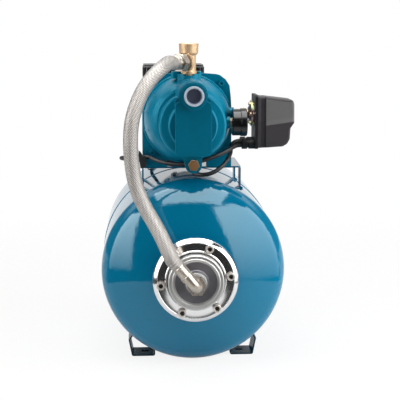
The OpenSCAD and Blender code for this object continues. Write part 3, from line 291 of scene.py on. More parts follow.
class Nodes:
    """A node tree in the making."""

    def __init__(self, tree: Any) -> None:
        """Keeps the tree and empties it."""
        self.tree = tree
        tree.nodes.clear()

    def feed(self, socket: Any, value: Any) -> None:
        """Links an input socket to a Sock, or sets it to a constant.

        Args:
            socket: The node's input socket.
            value: The Sock or the constant.
        """
        if isinstance(value, Sock):
            self.tree.links.new(value.link, socket)
        else:
            socket.default_value = value

    def add(self, kind: str, settings: Optional[dict[str, Any]] = None,
            inputs: Optional[dict[Any, Any]] = None) -> bpy.types.Node:
        """Adds a node.

        Args:
            kind: The node's type.
            settings: Properties set first; "stops" gives a colour ramp's places and colours.
            inputs: Values or links of its sockets, by index or name.

        Returns:
            The node.
        """
        node = self.tree.nodes.new(kind)
        for key, value in (settings or {}).items():
            if key == "stops":
                ramp_stops = node.color_ramp.elements
                while len(ramp_stops) < len(value):
                    ramp_stops.new(1.0)
                for stop, (place, colour) in zip(ramp_stops, value):
                    stop.position = place
                    stop.color = colour
            else:
                setattr(node, key, value)
        for key, value in (inputs or {}).items():
            self.feed(node.inputs[key], value)
        return node

    def node(self, kind: str, settings: Optional[dict[str, Any]] = None,
             inputs: Optional[dict[Any, Any]] = None, out: Any = 0) -> Sock:
        """Adds a node and gives its output socket, by index or name."""
        return Sock(self, self.add(kind, settings, inputs).outputs[out])

    def ray(self, kind: str) -> Sock:
        """Mask of one kind of ray, by the name of the Light Path node's output."""
        return self.node("ShaderNodeLightPath", out=kind)

    def place(self) -> Sock:
        """Object coordinates in metres."""
        return self.node("ShaderNodeTexCoord", out="Object")

    def parts(self, vector: Sock) -> tuple[Sock, ...]:
        """Splits a vector into its three values.

        Args:
            vector: The vector's socket.

        Returns:
            The three values' sockets.
        """
        node = self.add("ShaderNodeSeparateXYZ", None, {0: vector})
        return tuple(Sock(self, out) for out in node.outputs)

    def noise(self, scale: float, detail: float = 3.0, rough: float = 0.5,
              vector: Optional[Sock] = None) -> Sock:
        """Adds a noise texture.

        Args:
            scale: Features per metre.
            detail: Octaves.
            rough: Weight of the finer octaves.
            vector: Coordinates, object coordinates when left out.

        Returns:
            The noise value.
        """
        values = {"Vector": vector or self.place(), "Scale": scale, "Detail": detail, "Roughness": rough}
        return self.node("ShaderNodeTexNoise", None, values)

    def mix(self, factor: Any, first: Any, second: Any) -> Sock:
        """Mixes two colours by the share of the second."""
        return self.node("ShaderNodeMix", {"data_type": "RGBA"}, {0: factor, 6: first, 7: second}, 2)


class Shader(Nodes):
    """A node material with one Principled shader."""

    EDGE_TURN: Span = (0.02, 0.2)

    def __init__(self, name: str) -> None:
        """Makes the material, its Principled shader and its output.

        Args:
            name: The material's name.
        """
        self.material = bpy.data.materials.new(name)
        self.material.use_nodes = True
        super().__init__(self.material.node_tree)
        self.surface = self.add("ShaderNodeBsdfPrincipled")
        self.shaded = Sock(self, self.surface.outputs["BSDF"])
        self.output = self.add("ShaderNodeOutputMaterial", None, {"Surface": self.shaded})

    def normal(self) -> Sock:
        """The surface's own normal."""
        return self.node("ShaderNodeNewGeometry", out="Normal")

    def soft_edge(self, radius: float) -> Sock:
        """Normal that rounds the edges of a mesh by a radius in metres."""
        return self.node("ShaderNodeBevel", {"samples": 4}, {"Radius": radius})

    def edge(self, radius: float) -> Sock:
        """Mask of the mesh's edges.

        Args:
            radius: Reach of the mask from an edge in metres.

        Returns:
            The mask, 1 on an edge.
        """
        turned = {0: self.normal(), 1: self.soft_edge(radius)}
        same = self.node("ShaderNodeVectorMath", {"operation": "DOT_PRODUCT"}, turned, "Value")
        return (1 - same).above(*self.EDGE_TURN)

    def bump(self, height: Sock, depth: float, normal: Optional[Sock] = None) -> Sock:
        """Adds a Bump node.

        Args:
            height: Height value from 0 to 1.
            depth: Height of the value 1 in metres.
            normal: Normal that the bump starts from.

        Returns:
            The normal.
        """
        values: dict[str, Any] = {"Height": height, "Distance": depth, "Strength": 1.0}
        if normal is not None:
            values["Normal"] = normal
        return self.node("ShaderNodeBump", None, values)

    def finish(self, **values: Any) -> bpy.types.Material:
        """Sets the Principled shader's sockets.

        Args:
            **values: Socket names with underscores for spaces, and their links or constants.

        Returns:
            The material.
        """
        for key, value in values.items():
            self.feed(self.surface.inputs[key.replace("_", " ")], value)
        return self.material


@dataclass(frozen=True)
class Finish:
    """A finish that makes its material once."""

    name: str

    def material(self) -> bpy.types.Material:
        """Gives the finish's material, made on its first use."""
        known = bpy.data.materials.get(self.name)
        return known if known else self.build(Shader(self.name))

    def build(self, s: Shader) -> bpy.types.Material:
        """Dresses the shader; each kind of finish has its own."""
        raise NotImplementedError(self.name)


@dataclass(frozen=True)
class Enamel(Finish):
    """Gloss enamel sprayed on pressed sheet steel."""

    base: str = "006485"
    deep: str = "005D7B"
    speck: str = "2F8CA8"
    rough: float = 0.035
    level: float = 0.56
    sheen: Colour = (0.76, 0.96, 0.98, 1.0)
    dust: float = 0.2
    dust_turn: Span = (0.70, 0.76)
    peel: float = 0.00016
    cloudy: float = 0.05

    def build(self, s: Shader) -> bpy.types.Material:
        """Lays faint clouds and dust under a wet gloss with a trace of orange peel.

        Args:
            s: The finish's shader.

        Returns:
            The material.
        """
        cloud = s.noise(9, 2)
        specks = s.noise(900, 2).above(*self.dust_turn)
        colour = s.mix(cloud, tint(self.base), tint(self.deep))
        colour = s.mix(specks * self.dust, colour, tint(self.speck))
        waves = s.noise(34, 1) + s.noise(190, 1) * 0.5
        rough = self.rough + s.noise(60, 3) * self.cloudy
        return s.finish(Base_Color=colour, Roughness=rough, Normal=s.bump(waves, self.peel),
                        Specular_IOR_Level=self.level, Specular_Tint=self.sheen)


@dataclass(frozen=True)
class CastEnamel(Finish):
    """Enamel over cast iron, with the casting's grain under it."""

    base: str = "006984"
    deep: str = "005E76"
    edge_tint: str = "1C8BA8"
    pit: str = "00445A"
    pool: str = "00455A"
    level: float = 0.42
    sheen: Colour = (0.25, 0.84, 0.98, 1.0)
    face: float = -0.2120
    face_soft: float = 0.0004
    flat_turn: Span = (0.90, 0.99)
    pooled: float = 0.5
    thin: float = 0.45
    pitted: float = 0.2
    pit_scale: float = 420
    pit_turn: Span = (0.10, 0.32)
    rough: float = 0.26
    spread: float = 0.18
    grain: float = 0.00022
    edge_reach: float = 0.0010
    bevel: float = 0.0012

    def build(self, s: Shader) -> bpy.types.Material:
        """Lays a lumpy skin, with wear and painted highlight on its edges and painted shade on the flats at
        the very front.

        Args:
            s: The finish's shader.

        Returns:
            The material.
        """
        cells = s.node("ShaderNodeTexVoronoi", None, {"Vector": s.place(), "Scale": self.pit_scale})
        pits = cells.above(*self.pit_turn)
        _, toward, _ = s.parts(s.normal())
        _, depth, _ = s.parts(s.place())
        # painted shade: flats that face the front, ahead of the face plane, are darkened for the shade they
        # get
        flats = (toward * -1).above(*self.flat_turn) * (1 - depth.beyond(self.face, self.face_soft))
        colour = s.mix(s.noise(14), tint(self.base), tint(self.deep))
        colour = s.mix(flats * self.pooled, colour, tint(self.pool))
        # partly wear, partly painted highlight: the edges are paled toward a lighter teal
        colour = s.mix(s.edge(self.edge_reach) * self.thin, colour, tint(self.edge_tint))
        colour = s.mix((1 - pits) * self.pitted, colour, tint(self.pit))
        lumps = s.noise(75, 3, 0.6) * 0.7 + s.noise(420, 2) * 0.3 + pits * 0.12
        rough = self.rough + s.noise(130, 2) * self.spread
        return s.finish(Base_Color=colour, Roughness=rough, Specular_IOR_Level=self.level,
                        Normal=s.bump(lumps, self.grain, s.soft_edge(self.bevel)), Specular_Tint=self.sheen)


@dataclass(frozen=True)
class Metal(Finish):
    """Bare or plated metal with fine marks."""

    base: str = "C8C8C8"
    deep: str = "A0A0A0"
    rough: float = 0.2
    spread: float = 0.1
    marks: float = 260
    grain: float = 0.00004
    edge_gain: float = 0.0
    metal: float = 1.0
    brushing: Point = (1.0, 9.0, 22.0)
    scratch_turn: Span = (0.56, 0.62)
    edge_reach: float = 0.0008
    bevel: float = 0.0005

    def build(self, s: Shader) -> bpy.types.Material:
        """Clouds the metal a little and puts fine scratches in its roughness.

        Args:
            s: The finish's shader.

        Returns:
            The material.
        """
        fine = s.noise(self.marks, 4, 0.62)
        colour = s.mix(s.noise(self.marks * 0.22), tint(self.base), tint(self.deep))
        # painted highlight: the edges are mixed toward white
        if self.edge_gain:
            colour = s.mix(s.edge(self.edge_reach) * self.edge_gain, colour, WHITE)
        drawn = s.node("ShaderNodeVectorMath", {"operation": "MULTIPLY"}, {0: s.place(), 1: self.brushing})
        scratch = s.noise(60, 6, 0.7, drawn).above(*self.scratch_turn)
        rough = self.rough + fine * self.spread + scratch * self.spread * 0.5
        return s.finish(Base_Color=colour, Metallic=self.metal, Roughness=rough,
                        Normal=s.bump(fine, self.grain, s.soft_edge(self.bevel)))


@dataclass(frozen=True)
class DishZinc(Finish):
    """Pale zinc plate that turns dark and satin inside the cap's dish."""

    pale: tuple[str, str] = ("BDBDBB", "AEAEAC")
    dark: tuple[str, str] = ("58575B", "69686D")
    streak: str = "8E8D92"
    axis_z: float = 0.180
    hub: Span = (0.0196, 0.0202)
    dish: Span = (0.0382, 0.0392)
    grooves: float = 5200
    groove_depth: float = 0.000012
    streaked: float = 0.25
    rough: float = 0.30
    dish_rough: float = 0.10
    metal: float = 0.8
    bevel: float = 0.0005

    def build(self, s: Shader) -> bpy.types.Material:
        """Masks the dish by its radius about the tank's axis, paints a conical highlight in it, and turns
        fine grooves in the plate.

        Args:
            s: The finish's shader.

        Returns:
            The material.
        """
        x, _, z = s.parts(s.place())
        rise = z - self.axis_z
        radius = (x * x + rise * rise) ** 0.5
        inside = (1 - radius.above(*self.dish)) * radius.above(*self.hub)
        cloud = s.noise(70)
        pale, dark = (s.mix(cloud, tint(one), tint(two)) for one, two in (self.pale, self.dark))
        # painted highlight: the dish is brighter at two opposite bearings, like a turned plate's conical
        # sheen
        streak = (x.angle(rise) * 2 + 0.5).wave() ** 3
        dark = s.mix(streak * self.streaked, dark, tint(self.streak))
        rough = self.rough + inside * self.dish_rough + cloud * 0.05
        turned = s.bump((radius * self.grooves).wave(), self.groove_depth, s.soft_edge(self.bevel))
        return s.finish(Base_Color=s.mix(inside, pale, dark), Metallic=self.metal, Roughness=rough,
                        Normal=turned)


@dataclass(frozen=True)
class GoldZinc(Finish):
    """Yellow passivated zinc, with its green and rose sheen."""

    bands: tuple[tuple[float, str], ...] = (
        (0.30, "A59C6C"), (0.43, "8A9C7C"), (0.50, "B9B08C"), (0.58, "8E7680"), (0.70, "7C6E48"))
    rough: float = 0.26
    spread: float = 0.10
    metal: float = 0.8
    bevel: float = 0.0006

    def build(self, s: Shader) -> bpy.types.Material:
        """Drifts bands of gold, green and rose over a bright plate.

        Args:
            s: The finish's shader.

        Returns:
            The material.
        """
        stops = [(place, tint(code)) for place, code in self.bands]
        colour = s.node("ShaderNodeValToRGB", {"stops": stops}, {"Fac": s.noise(30, 1, 0.3)}, "Color")
        rough = self.rough + s.noise(400) * self.spread
        return s.finish(Base_Color=colour, Metallic=self.metal, Roughness=rough,
                        Normal=s.soft_edge(self.bevel))


@dataclass(frozen=True)
class Plastic(Finish):
    """Moulded plastic or rubber with a fine texture."""

    base: str = "1B1B1D"
    deep: str = "151517"
    rough: float = 0.45
    grain: float = 0.00005
    scale: float = 1500
    level: float = 0.5
    edge_tint: str = "3A3A3D"
    worn: float = 0.35
    cloudy: float = 0.08
    bevel: float = 0.0009

    def build(self, s: Shader) -> bpy.types.Material:
        """Clouds the colour, pales its edges with wear and painted highlight, and gives it a moulded grain.

        Args:
            s: The finish's shader.

        Returns:
            The material.
        """
        cloud = s.noise(30)
        colour = s.mix(cloud, tint(self.base), tint(self.deep))
        # partly wear, partly painted highlight: the edges are paled toward the edge tint
        colour = s.mix(s.edge(self.bevel) * self.worn, colour, tint(self.edge_tint))
        grain = s.bump(s.noise(self.scale, 2, 0.6), self.grain, s.soft_edge(self.bevel))
        return s.finish(Base_Color=colour, Roughness=self.rough + cloud * self.cloudy,
                        Specular_IOR_Level=self.level, Normal=grain)


@dataclass(frozen=True)
class Braid(Finish):
    """Stainless wire braid woven over a rubber hose, drawn on the hose's own coordinates."""

    strands: int = 28
    pitch: float = 0.0048
    wires: int = 5
    wire: tuple[str, str] = ("E6E2DD", "D2CCC6")
    gap: str = "2C2826"
    gap_turn: Span = (0.20, 0.62)
    gap_share: float = 0.9
    wire_share: float = 0.25
    rough: float = 0.28
    metal: float = 0.55
    grain: float = 0.00032

    def build(self, s: Shader) -> bpy.types.Material:
        """Weaves two families of helical bands that pass over and under each other.

        Args:
            s: The finish's shader.

        Returns:
            The material.
        """
        u, v, _ = s.parts(s.node("ShaderNodeTexCoord", out="UV"))
        around = u * self.strands
        along = v / self.pitch
        right, left = (around + along) * math.pi, (around - along) * math.pi
        over = ((around * 2 * math.pi).sine() * (along * 2 * math.pi).sine()).above(-0.2, 0.2)
        one, two = left.sine(), right.sine()
        bands = one * one * over + two * two * (1 - over)
        wires = (left * self.wires).wave() * over + (right * self.wires).wave() * (1 - over)
        height = bands * (1 - self.wire_share) + wires * self.wire_share
        gap = 1 - height.above(*self.gap_turn)
        colour = s.mix(s.noise(120), tint(self.wire[0]), tint(self.wire[1]))
        colour = s.mix(gap * self.gap_share, colour, tint(self.gap))
        rough = self.rough + s.noise(900, 2) * 0.10 + gap * 0.2
        return s.finish(Base_Color=colour, Metallic=self.metal, Roughness=rough,
                        Normal=s.bump(height, self.grain))


@dataclass(frozen=True)
class CoverPlastic(Finish):
    """Moulded cover, with painted light: a paler panel above its crease and a highlight along it."""

    base: tuple[str, str] = ("373537", "333133")
    hem: str = "232125"
    spark: str = "585757"
    crease_tint: str = "6E6D6E"
    edge_tint: str = "626163"
    left: float = 0.139
    crease: float = 0.4535
    rise: float = 0.14
    top: float = 0.5030
    fall: float = 0.12
    side_soft: float = 0.0006
    crease_soft: float = 0.0008
    hem_width: float = 0.0012
    hem_share: float = 0.6
    glint_span: Span = (0.0005, 0.012)
    glint: float = 0.35
    worn: float = 0.3
    rough: float = 0.42
    level: float = 0.22
    grain: float = 0.00003
    bevel: float = 0.0012

    def build(self, s: Shader) -> bpy.types.Material:
        """Paints light on the panel and above its crease by lines over the side, and gives all of it a fine
        grain.

        Args:
            s: The finish's shader.

        Returns:
            The material.
        """
        x, _, z = s.parts(s.place())
        along = x - self.left
        up = z - self.crease - along * self.rise
        below_top = 1 - (z + along * self.fall).beyond(self.top, self.side_soft)
        panel = x.beyond(self.left, self.side_soft) * up.beyond(0, self.crease_soft) * below_top
        hem = 1 - x.above(self.left - self.hem_width, self.left)
        cloud = s.noise(30)
        colour = s.mix(cloud, tint(self.base[0]), tint(self.base[1]))
        colour = s.mix(hem * self.hem_share, colour, tint(self.hem))
        # painted light: the panel above the crease is paler, standing for the light on the upper face
        colour = s.mix(panel, colour, tint(self.spark))
        # painted highlight: a pale band just above the crease
        low_panel = panel * (1 - up.above(*self.glint_span))
        colour = s.mix(low_panel * self.glint, colour, tint(self.crease_tint))
        # partly wear, partly painted highlight: the cover's edges are paled
        colour = s.mix(s.edge(self.bevel) * self.worn, colour, tint(self.edge_tint))
        rough = self.rough + panel * 0.06 + cloud * 0.06
        grain = s.bump(s.noise(1900, 2, 0.6), self.grain, s.soft_edge(self.bevel))
        return s.finish(Base_Color=colour, Roughness=rough, Specular_IOR_Level=self.level, Normal=grain)


@dataclass(frozen=True)
class Glass(Finish):
    """Clear window of the gauge."""

    pane: tuple[str, str] = ("F6FAFA", "D8E0E0")
    dust_turn: Span = (0.62, 0.8)
    dusty: float = 0.1
    rough: float = 0.02
    spread: float = 0.05
    through: float = 0.96
    bend: float = 1.45
    alpha: float = 0.35

    def build(self, s: Shader) -> bpy.types.Material:
        """Makes thin clear glass with a trace of dust in its roughness.

        Args:
            s: The finish's shader.

        Returns:
            The material.
        """
        dust = s.noise(300).above(*self.dust_turn)
        colour = s.mix(dust * self.dusty, tint(self.pane[0]), tint(self.pane[1]))
        return s.finish(Base_Color=colour, Roughness=self.rough + dust * self.spread,
                        Transmission_Weight=self.through, IOR=self.bend, Alpha=self.alpha)


class Looks:
    """The object's finishes."""

    ENAMEL = Enamel("tank_enamel")
    # painted shade: the feet's dark base stands for the shade under the tank
    FEET = Enamel("foot_enamel", base="002C3A", deep="002531", speck="1A4A5A", rough=0.22, level=0.22)
    BRACKET = Enamel("bracket_enamel", base="005A78", deep="00506C")
    CAST = CastEnamel("pump_enamel")
    CHROME = Metal("flange_chrome", base="EEEEEE", deep="E6E6E6", rough=0.09, spread=0.04, grain=0.00001)
    BOLT = Metal("bolt_zinc", base="CBC5BF", deep="B3ABA4", rough=0.26, spread=0.08, edge_gain=0.3,
                 metal=0.7)
    # painted shade: a dark steel that stands for the shade inside each screw's socket
    SOCKET = Metal("bolt_socket_shade", base="3A3634", deep="2A2625", rough=0.4, metal=0.7)
    CAP = DishZinc("cap_zinc")
    ZINC = Metal("zinc_plate", base="C4C5C4", deep="A9AAA9", rough=0.24, spread=0.14)
    STEEL = Metal("bright_steel", base="B4B4B2", deep="989896", rough=0.26, spread=0.14)
    NICKEL = Metal("nickel_plate", base="BDB5AB", deep="A59C91", rough=0.24, spread=0.08, grain=0.00002,
                   edge_gain=0.1, metal=0.85)
    BRASS = Metal("forged_brass", base="D0B492", deep="B99A74", rough=0.36, spread=0.14, marks=520,
                  grain=0.00006, edge_gain=0.15, metal=0.6)
    BRONZE = Metal("bronze_plug", base="A3805A", deep="85613F", rough=0.30, spread=0.18, grain=0.0001,
                   edge_gain=0.2, metal=0.7)
    ALLOY = Metal("cast_alloy", base="A9AAAC", deep="8D8E90", rough=0.42, spread=0.16, marks=500,
                  grain=0.0002)
    IRON = Metal("sheet_iron", base="6A6866", deep="4F4D4B", rough=0.45, spread=0.2, marks=700,
                 grain=0.0001)
    GOLD = GoldZinc("passivated_zinc")
    BLACK = Plastic("black_moulding", base="1A1A1C", deep="141416", rough=0.44, level=0.18,
                    edge_tint="454447")
    # painted highlight: a wide pale edge band stands for light caught on the lid's rim over a near-black
    # face
    LID = Plastic("lid_moulding", base="0C0C0D", deep="09090A", rough=0.36, level=0.3, edge_tint="8E8C8E",
                  worn=0.9, bevel=0.003)
    COVER = CoverPlastic("cover_moulding")
    GAUGE = Plastic("gauge_black", base="0D0D0E", deep="09090A", rough=0.20, grain=0.00001,
                    edge_tint="39393B", worn=0.2)
    RIM = Plastic("plug_rim", base="A4AFBA", deep="98A4B0", rough=0.38, edge_tint="C4CDD6", worn=0.4)
    SLATE = Plastic("plug_floor", base="5C6478", deep="50586C", rough=0.5, edge_tint="6E7688")
    WHITE = Plastic("white_moulding", base="DAD6CC", deep="CFCBC0", rough=0.4, edge_tint="EDEAE2")
    DIAL = Plastic("dial_paint", base="F0EFEA", deep="E8E7E1", rough=0.5, grain=0.00001, edge_tint="F5F5F2")
    INK = Plastic("dial_ink", base="1A1A1A", deep="121212", rough=0.6, grain=0.00001)
    CORD = Plastic("cord_rubber", base="1D1C1E", deep="151416", rough=0.42, grain=0.00006, scale=1100,
                   edge_tint="2A2A2C", worn=0.0)
    RUBBER = Plastic("black_rubber", base="191919", deep="121212", rough=0.55, grain=0.0001, scale=900)
    CONTACT = Plastic("contact_resin", base="4A2C1E", deep="3A2217", rough=0.35, edge_tint="6A4430")
    BRAID = Braid("wire_braid")
    GLASS = Glass("gauge_glass")


def claim(obj: bpy.types.Object, finish: Finish, slot: Slot, body: Body = Body.FRAME,
          replaces: Sequence[str] = ()) -> bpy.types.Object:
    """Gives a new piece its finish, its body and the nodes it stands for.

    Args:
        obj: The piece.
        finish: Its finish.
        slot: The record's material slot; not used.
        body: The body it rides on.
        replaces: CAD nodes that it stands for.

    Returns:
        The piece.
    """
    if not obj.data.materials:
        obj.data.materials.append(finish.material())
    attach(obj, body.value)
    if replaces:
        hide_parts(*replaces)
    LOG.info("made %s on %s", obj.name, body.value)
    return obj


def dress(finish: Finish, *nodes: str) -> None:
    """Gives CAD nodes a finish.

    Args:
        finish: The finish.
        *nodes: Names of the nodes.
    """
    for name in nodes:
        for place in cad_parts[name].material_slots:
            place.material = finish.material()
        LOG.info("dressed %s in %s", name, finish.name)


class Form:
    """A mesh in the making, with its points in millimetres."""

    JOIN_REACH = 1e-6

    def __init__(self) -> None:
        """Starts with no points."""
        self.points: list[Vector] = []
        self.faces: list[tuple[int, ...]] = []
        self.marks: list[int] = []
        self.spots: Pairs = []

    def ring(self, points: Sequence[Vector]) -> list[int]:
        """Adds points.

        Args:
            points: The points.

        Returns:
            Their numbers.
        """
        start = len(self.points)
        self.points += list(points)
        return list(range(start, start + len(points)))

    def face(self, numbers: Sequence[int], spots: Optional[Pairs] = None, mark: int = 0) -> None:
        """Adds a face.

        Args:
            numbers: Numbers of its points.
            spots: Surface coordinates of its corners.
            mark: Its material number.
        """
        self.faces.append(tuple(numbers))
        self.spots += spots or [(0.0, 0.0)] * len(numbers)
        self.marks.append(mark)

    def bridge(self, low: list[int], high: list[int], mark: int = 0) -> None:
        """Joins two closed rings, one of which may be a single point.

        Args:
            low: First ring.
            high: Second ring.
            mark: Material number of the new faces.
        """
        count = max(len(low), len(high))
        for k in range(count):
            j = (k + 1) % count
            if len(low) == 1:
                self.face((low[0], high[j], high[k]), mark=mark)
            elif len(high) == 1:
                self.face((low[k], low[j], high[0]), mark=mark)
            else:
                self.face((low[k], low[j], high[j], high[k]), mark=mark)

    def revolve(self, profile: Profile, origin: Sequence[float], way: Sequence[float], turns: int = 96,
                closed: bool = False, shape: Optional[Callable[[float, float, float], float]] = None,
                mark: int = 0, marks: Optional[Callable[[float, float], int]] = None) -> "Form":
        """Turns a profile of radius and distance along an axis.

        Args:
            profile: Pairs of radius and distance.
            origin: Point of the axis where the distance is 0.
            way: Direction of the axis.
            turns: Points round the axis.
            closed: Whether the profile's last point joins its first.
            shape: Factor of the radius from the angle, the radius and the distance.
            mark: Material number of all faces.
            marks: Material number from the mean radius and distance of a band.

        Returns:
            This form.
        """
        turn = Vector(way).to_track_quat("Z", "Y").to_matrix()
        start = Vector(origin)
        angles = [2 * math.pi * k / turns for k in range(turns)]
        rings: list[list[int]] = []
        for r, h in profile:
            if r < NO_WIDTH:
                rings.append(self.ring([start + turn @ Vector((0, 0, h))]))
                continue
            sizes = [r * shape(a, r, h) if shape else r for a in angles]
            rings.append(self.ring([start + turn @ Vector((size * math.cos(a), size * math.sin(a), h))
                                    for a, size in zip(angles, sizes)]))
        last = len(rings) - 1
        pairs = [(k, k + 1) for k in range(last)] + ([(last, 0)] if closed else [])
        for a, b in pairs:
            middle = ((profile[a][0] + profile[b][0]) / 2, (profile[a][1] + profile[b][1]) / 2)
            self.bridge(rings[a], rings[b], marks(*middle) if marks else mark)
        return self

    def tube(self, route: Sequence[Vector], radius: Callable[[float], float], sides: int) -> "Form":
        """Sweeps a circle along a route, with surface coordinates round and along it.

        Args:
            route: Points in millimetres.
            radius: Radius from the share of the length.
            sides: Points round the tube.

        Returns:
            This form.
        """
        lengths = [0.0]
        for a, b in zip(route, route[1:]):
            lengths.append(lengths[-1] + (b - a).length)
        side = Vector((0, 0, 1)) if abs((route[1] - route[0]).normalized().z) < 0.9 else Vector((1, 0, 0))
        angles = [2 * math.pi * j / sides for j in range(sides)]
        rings: list[list[int]] = []
        for k, point in enumerate(route):
            ahead = (route[min(k + 1, len(route) - 1)] - route[max(k - 1, 0)]).normalized()
            side = (side - ahead * side.dot(ahead)).normalized()
            other = ahead.cross(side)
            r = radius(lengths[k] / lengths[-1])
            rings.append(self.ring([point + r * (math.cos(t) * side + math.sin(t) * other)
                                    for t in angles]))
        for k in range(len(rings) - 1):
            v0, v1 = lengths[k] * MM, lengths[k + 1] * MM
            for j in range(sides):
                n = (j + 1) % sides
                u0, u1 = j / sides, (j + 1) / sides
                self.face((rings[k][j], rings[k][n], rings[k + 1][n], rings[k + 1][j]),
                          [(u0, v0), (u1, v0), (u1, v1), (u0, v1)])
        self.face(rings[0][::-1])
        self.face(rings[-1])
        return self

    def slab(self, outline: Profile, depth: float, place: Callable[[float, float, float], Vector],
             edge: float, steps: int, upright: float) -> "Form":
        """Extrudes an outline, with rounded edges on both its faces.

        Args:
            outline: Corners in order, anticlockwise.
            depth: Thickness.
            place: Gives a point from two outline coordinates and the depth.
            edge: Radius of the rounded edges.
            steps: Chords in each edge.
            upright: First coordinate of a flat side whose own edges stay sharp.

        Returns:
            This form.
        """
        flat = [Vector(p) for p in outline]
        slimmest = 0.35  # keeps a sharp corner's shift within bounds
        shift: list[Vector] = []
        for k, corner in enumerate(flat):
            one = (corner - flat[k - 1]).normalized()
            two = (flat[(k + 1) % len(flat)] - corner).normalized()
            inward = Vector((-(one.y + two.y), one.x + two.x)).normalized()
            inward /= max(Vector((-one.y, one.x)).dot(inward), slimmest)
            if abs(corner.x - upright) < NO_WIDTH:
                inward = Vector((0.0, math.copysign(1.0, inward.y)))
            shift.append(inward)
        turns = [math.pi / 2 * k / steps for k in range(steps + 1)]
        levels = [(edge * (1 - math.sin(t)), edge * (1 - math.cos(t))) for t in turns]
        levels += [(edge * (1 - math.cos(t)), depth - edge * (1 - math.sin(t))) for t in turns]
        rings = [self.ring([place(p.x + d.x * inset, p.y + d.y * inset, height)
                            for p, d in zip(flat, shift)]) for inset, height in levels]
        self.face(rings[0][::-1])
        for low, high in zip(rings, rings[1:]):
            self.bridge(low, high)
        self.face(rings[-1])
        return self

    def make(self, name: str, finish: Finish, slot: Slot, body: Body = Body.FRAME,
             replaces: Sequence[str] = (), sharp: float = 35.0, more: Sequence[Finish] = (),
             even: bool = False) -> bpy.types.Object:
        """Turns the form into a piece.

        Args:
            name: The piece's name.
            finish: Its finish.
            slot: The record's material slot.
            body: The body it rides on.
            replaces: CAD nodes that it stands for.
            sharp: Angle in degrees above which an edge stays sharp.
            more: Further finishes for faces marked 1 and up.
            even: Whether flat faces keep their own normals beside rounded edges.

        Returns:
            The piece.
        """
        mesh = bpy.data.meshes.new(name)
        mesh.from_pydata([p * MM for p in self.points], [], self.faces)
        for loop, spot in zip(mesh.uv_layers.new(name="UVMap").data, self.spots):
            loop.uv = spot
        for face, mark in zip(mesh.polygons, self.marks):
            face.material_index = mark
        bm = bmesh.new()
        bm.from_mesh(mesh)
        bmesh.ops.remove_doubles(bm, verts=bm.verts, dist=self.JOIN_REACH)
        bmesh.ops.recalc_face_normals(bm, faces=bm.faces)
        bm.to_mesh(mesh)
        bm.free()
        mesh.shade_smooth()
        mesh.set_sharp_from_angle(angle=math.radians(sharp))
        obj = add_object(name, mesh)
        for item in (finish, *more):
            mesh.materials.append(item.material())
        if even:
            obj.modifiers.new("even", "WEIGHTED_NORMAL").keep_sharp = True
        return claim(obj, finish, slot, body, replaces)


@dataclass(frozen=True)
class SoftBox:
    """A soft box as gloss shows it, by its bearing and rise from the object in degrees."""

    left: float
    right: float
    low: float = -16.0
    high: float = 40.0
    glow: float = 6.2
    foot: float = 1.0
    lean: float = 0.0
    lean_about: float = 10.0
    soft: float = 1.6
    swell: float = 0.35

    def shine(self, bearing: Sock, rise: Sock) -> Sock:
        """Brightness of the box in a direction.

        Args:
            bearing: Angle from the front toward the right in degrees.
            rise: Angle above the horizon in degrees.

        Returns:
            The brightness, which fades from the box's top to its foot.
        """
        leant = bearing + (rise - self.lean_about) * self.lean
        inside = leant.between(self.left, self.right, self.soft)
        inside = inside * rise.between(self.low, self.high, self.soft)
        climb = (rise - self.low) / (self.high - self.low)
        climb = climb * (1 + self.swell - self.swell * climb)
        return inside * (self.foot + (self.glow - self.foot) * climb)


@dataclass(frozen=True)
class Lamp:
    """A rectangular lamp, which gloss sees as a soft box of the world instead."""

    name: str
    spot: Point
    aim: Point
    wide: float
    high: float
    power: float

    def build(self) -> None:
        """Puts the lamp in the scene, facing its aim."""
        data = bpy.data.lights.new(self.name, "AREA")
        data.shape = "RECTANGLE"
        data.size = self.wide
        data.size_y = self.high
        data.energy = self.power
        lamp = add_object(self.name, data)
        lamp.location = self.spot
        lamp.rotation_euler = (Vector(self.aim) - Vector(self.spot)).to_track_quat("-Z", "Y").to_euler()
        lamp.visible_glossy = False


@dataclass(frozen=True)
class Eye:
    """The camera, at the photograph's viewing angle."""

    spot: Point = (-0.0978, -2.0861, 0.6314)
    turn: float = 3.308
    drop: float = 9.382
    lens: float = 92.475
    film: float = 36.0
    clip: Span = (0.05, 60.0)

    def build(self) -> None:
        """Sets the camera and looks through it."""
        data = bpy.data.cameras.new("camera")
        data.lens = self.lens
        data.sensor_width = self.film
        data.clip_start, data.clip_end = self.clip
        eye = add_object("camera", data)
        a, e = math.radians(self.turn), math.radians(self.drop)
        look = Vector((math.sin(a) * math.cos(e), math.cos(a) * math.cos(e), -math.sin(e)))
        eye.location = self.spot
        eye.rotation_euler = look.to_track_quat("-Z", "Y").to_euler()
        bpy.context.scene.camera = eye


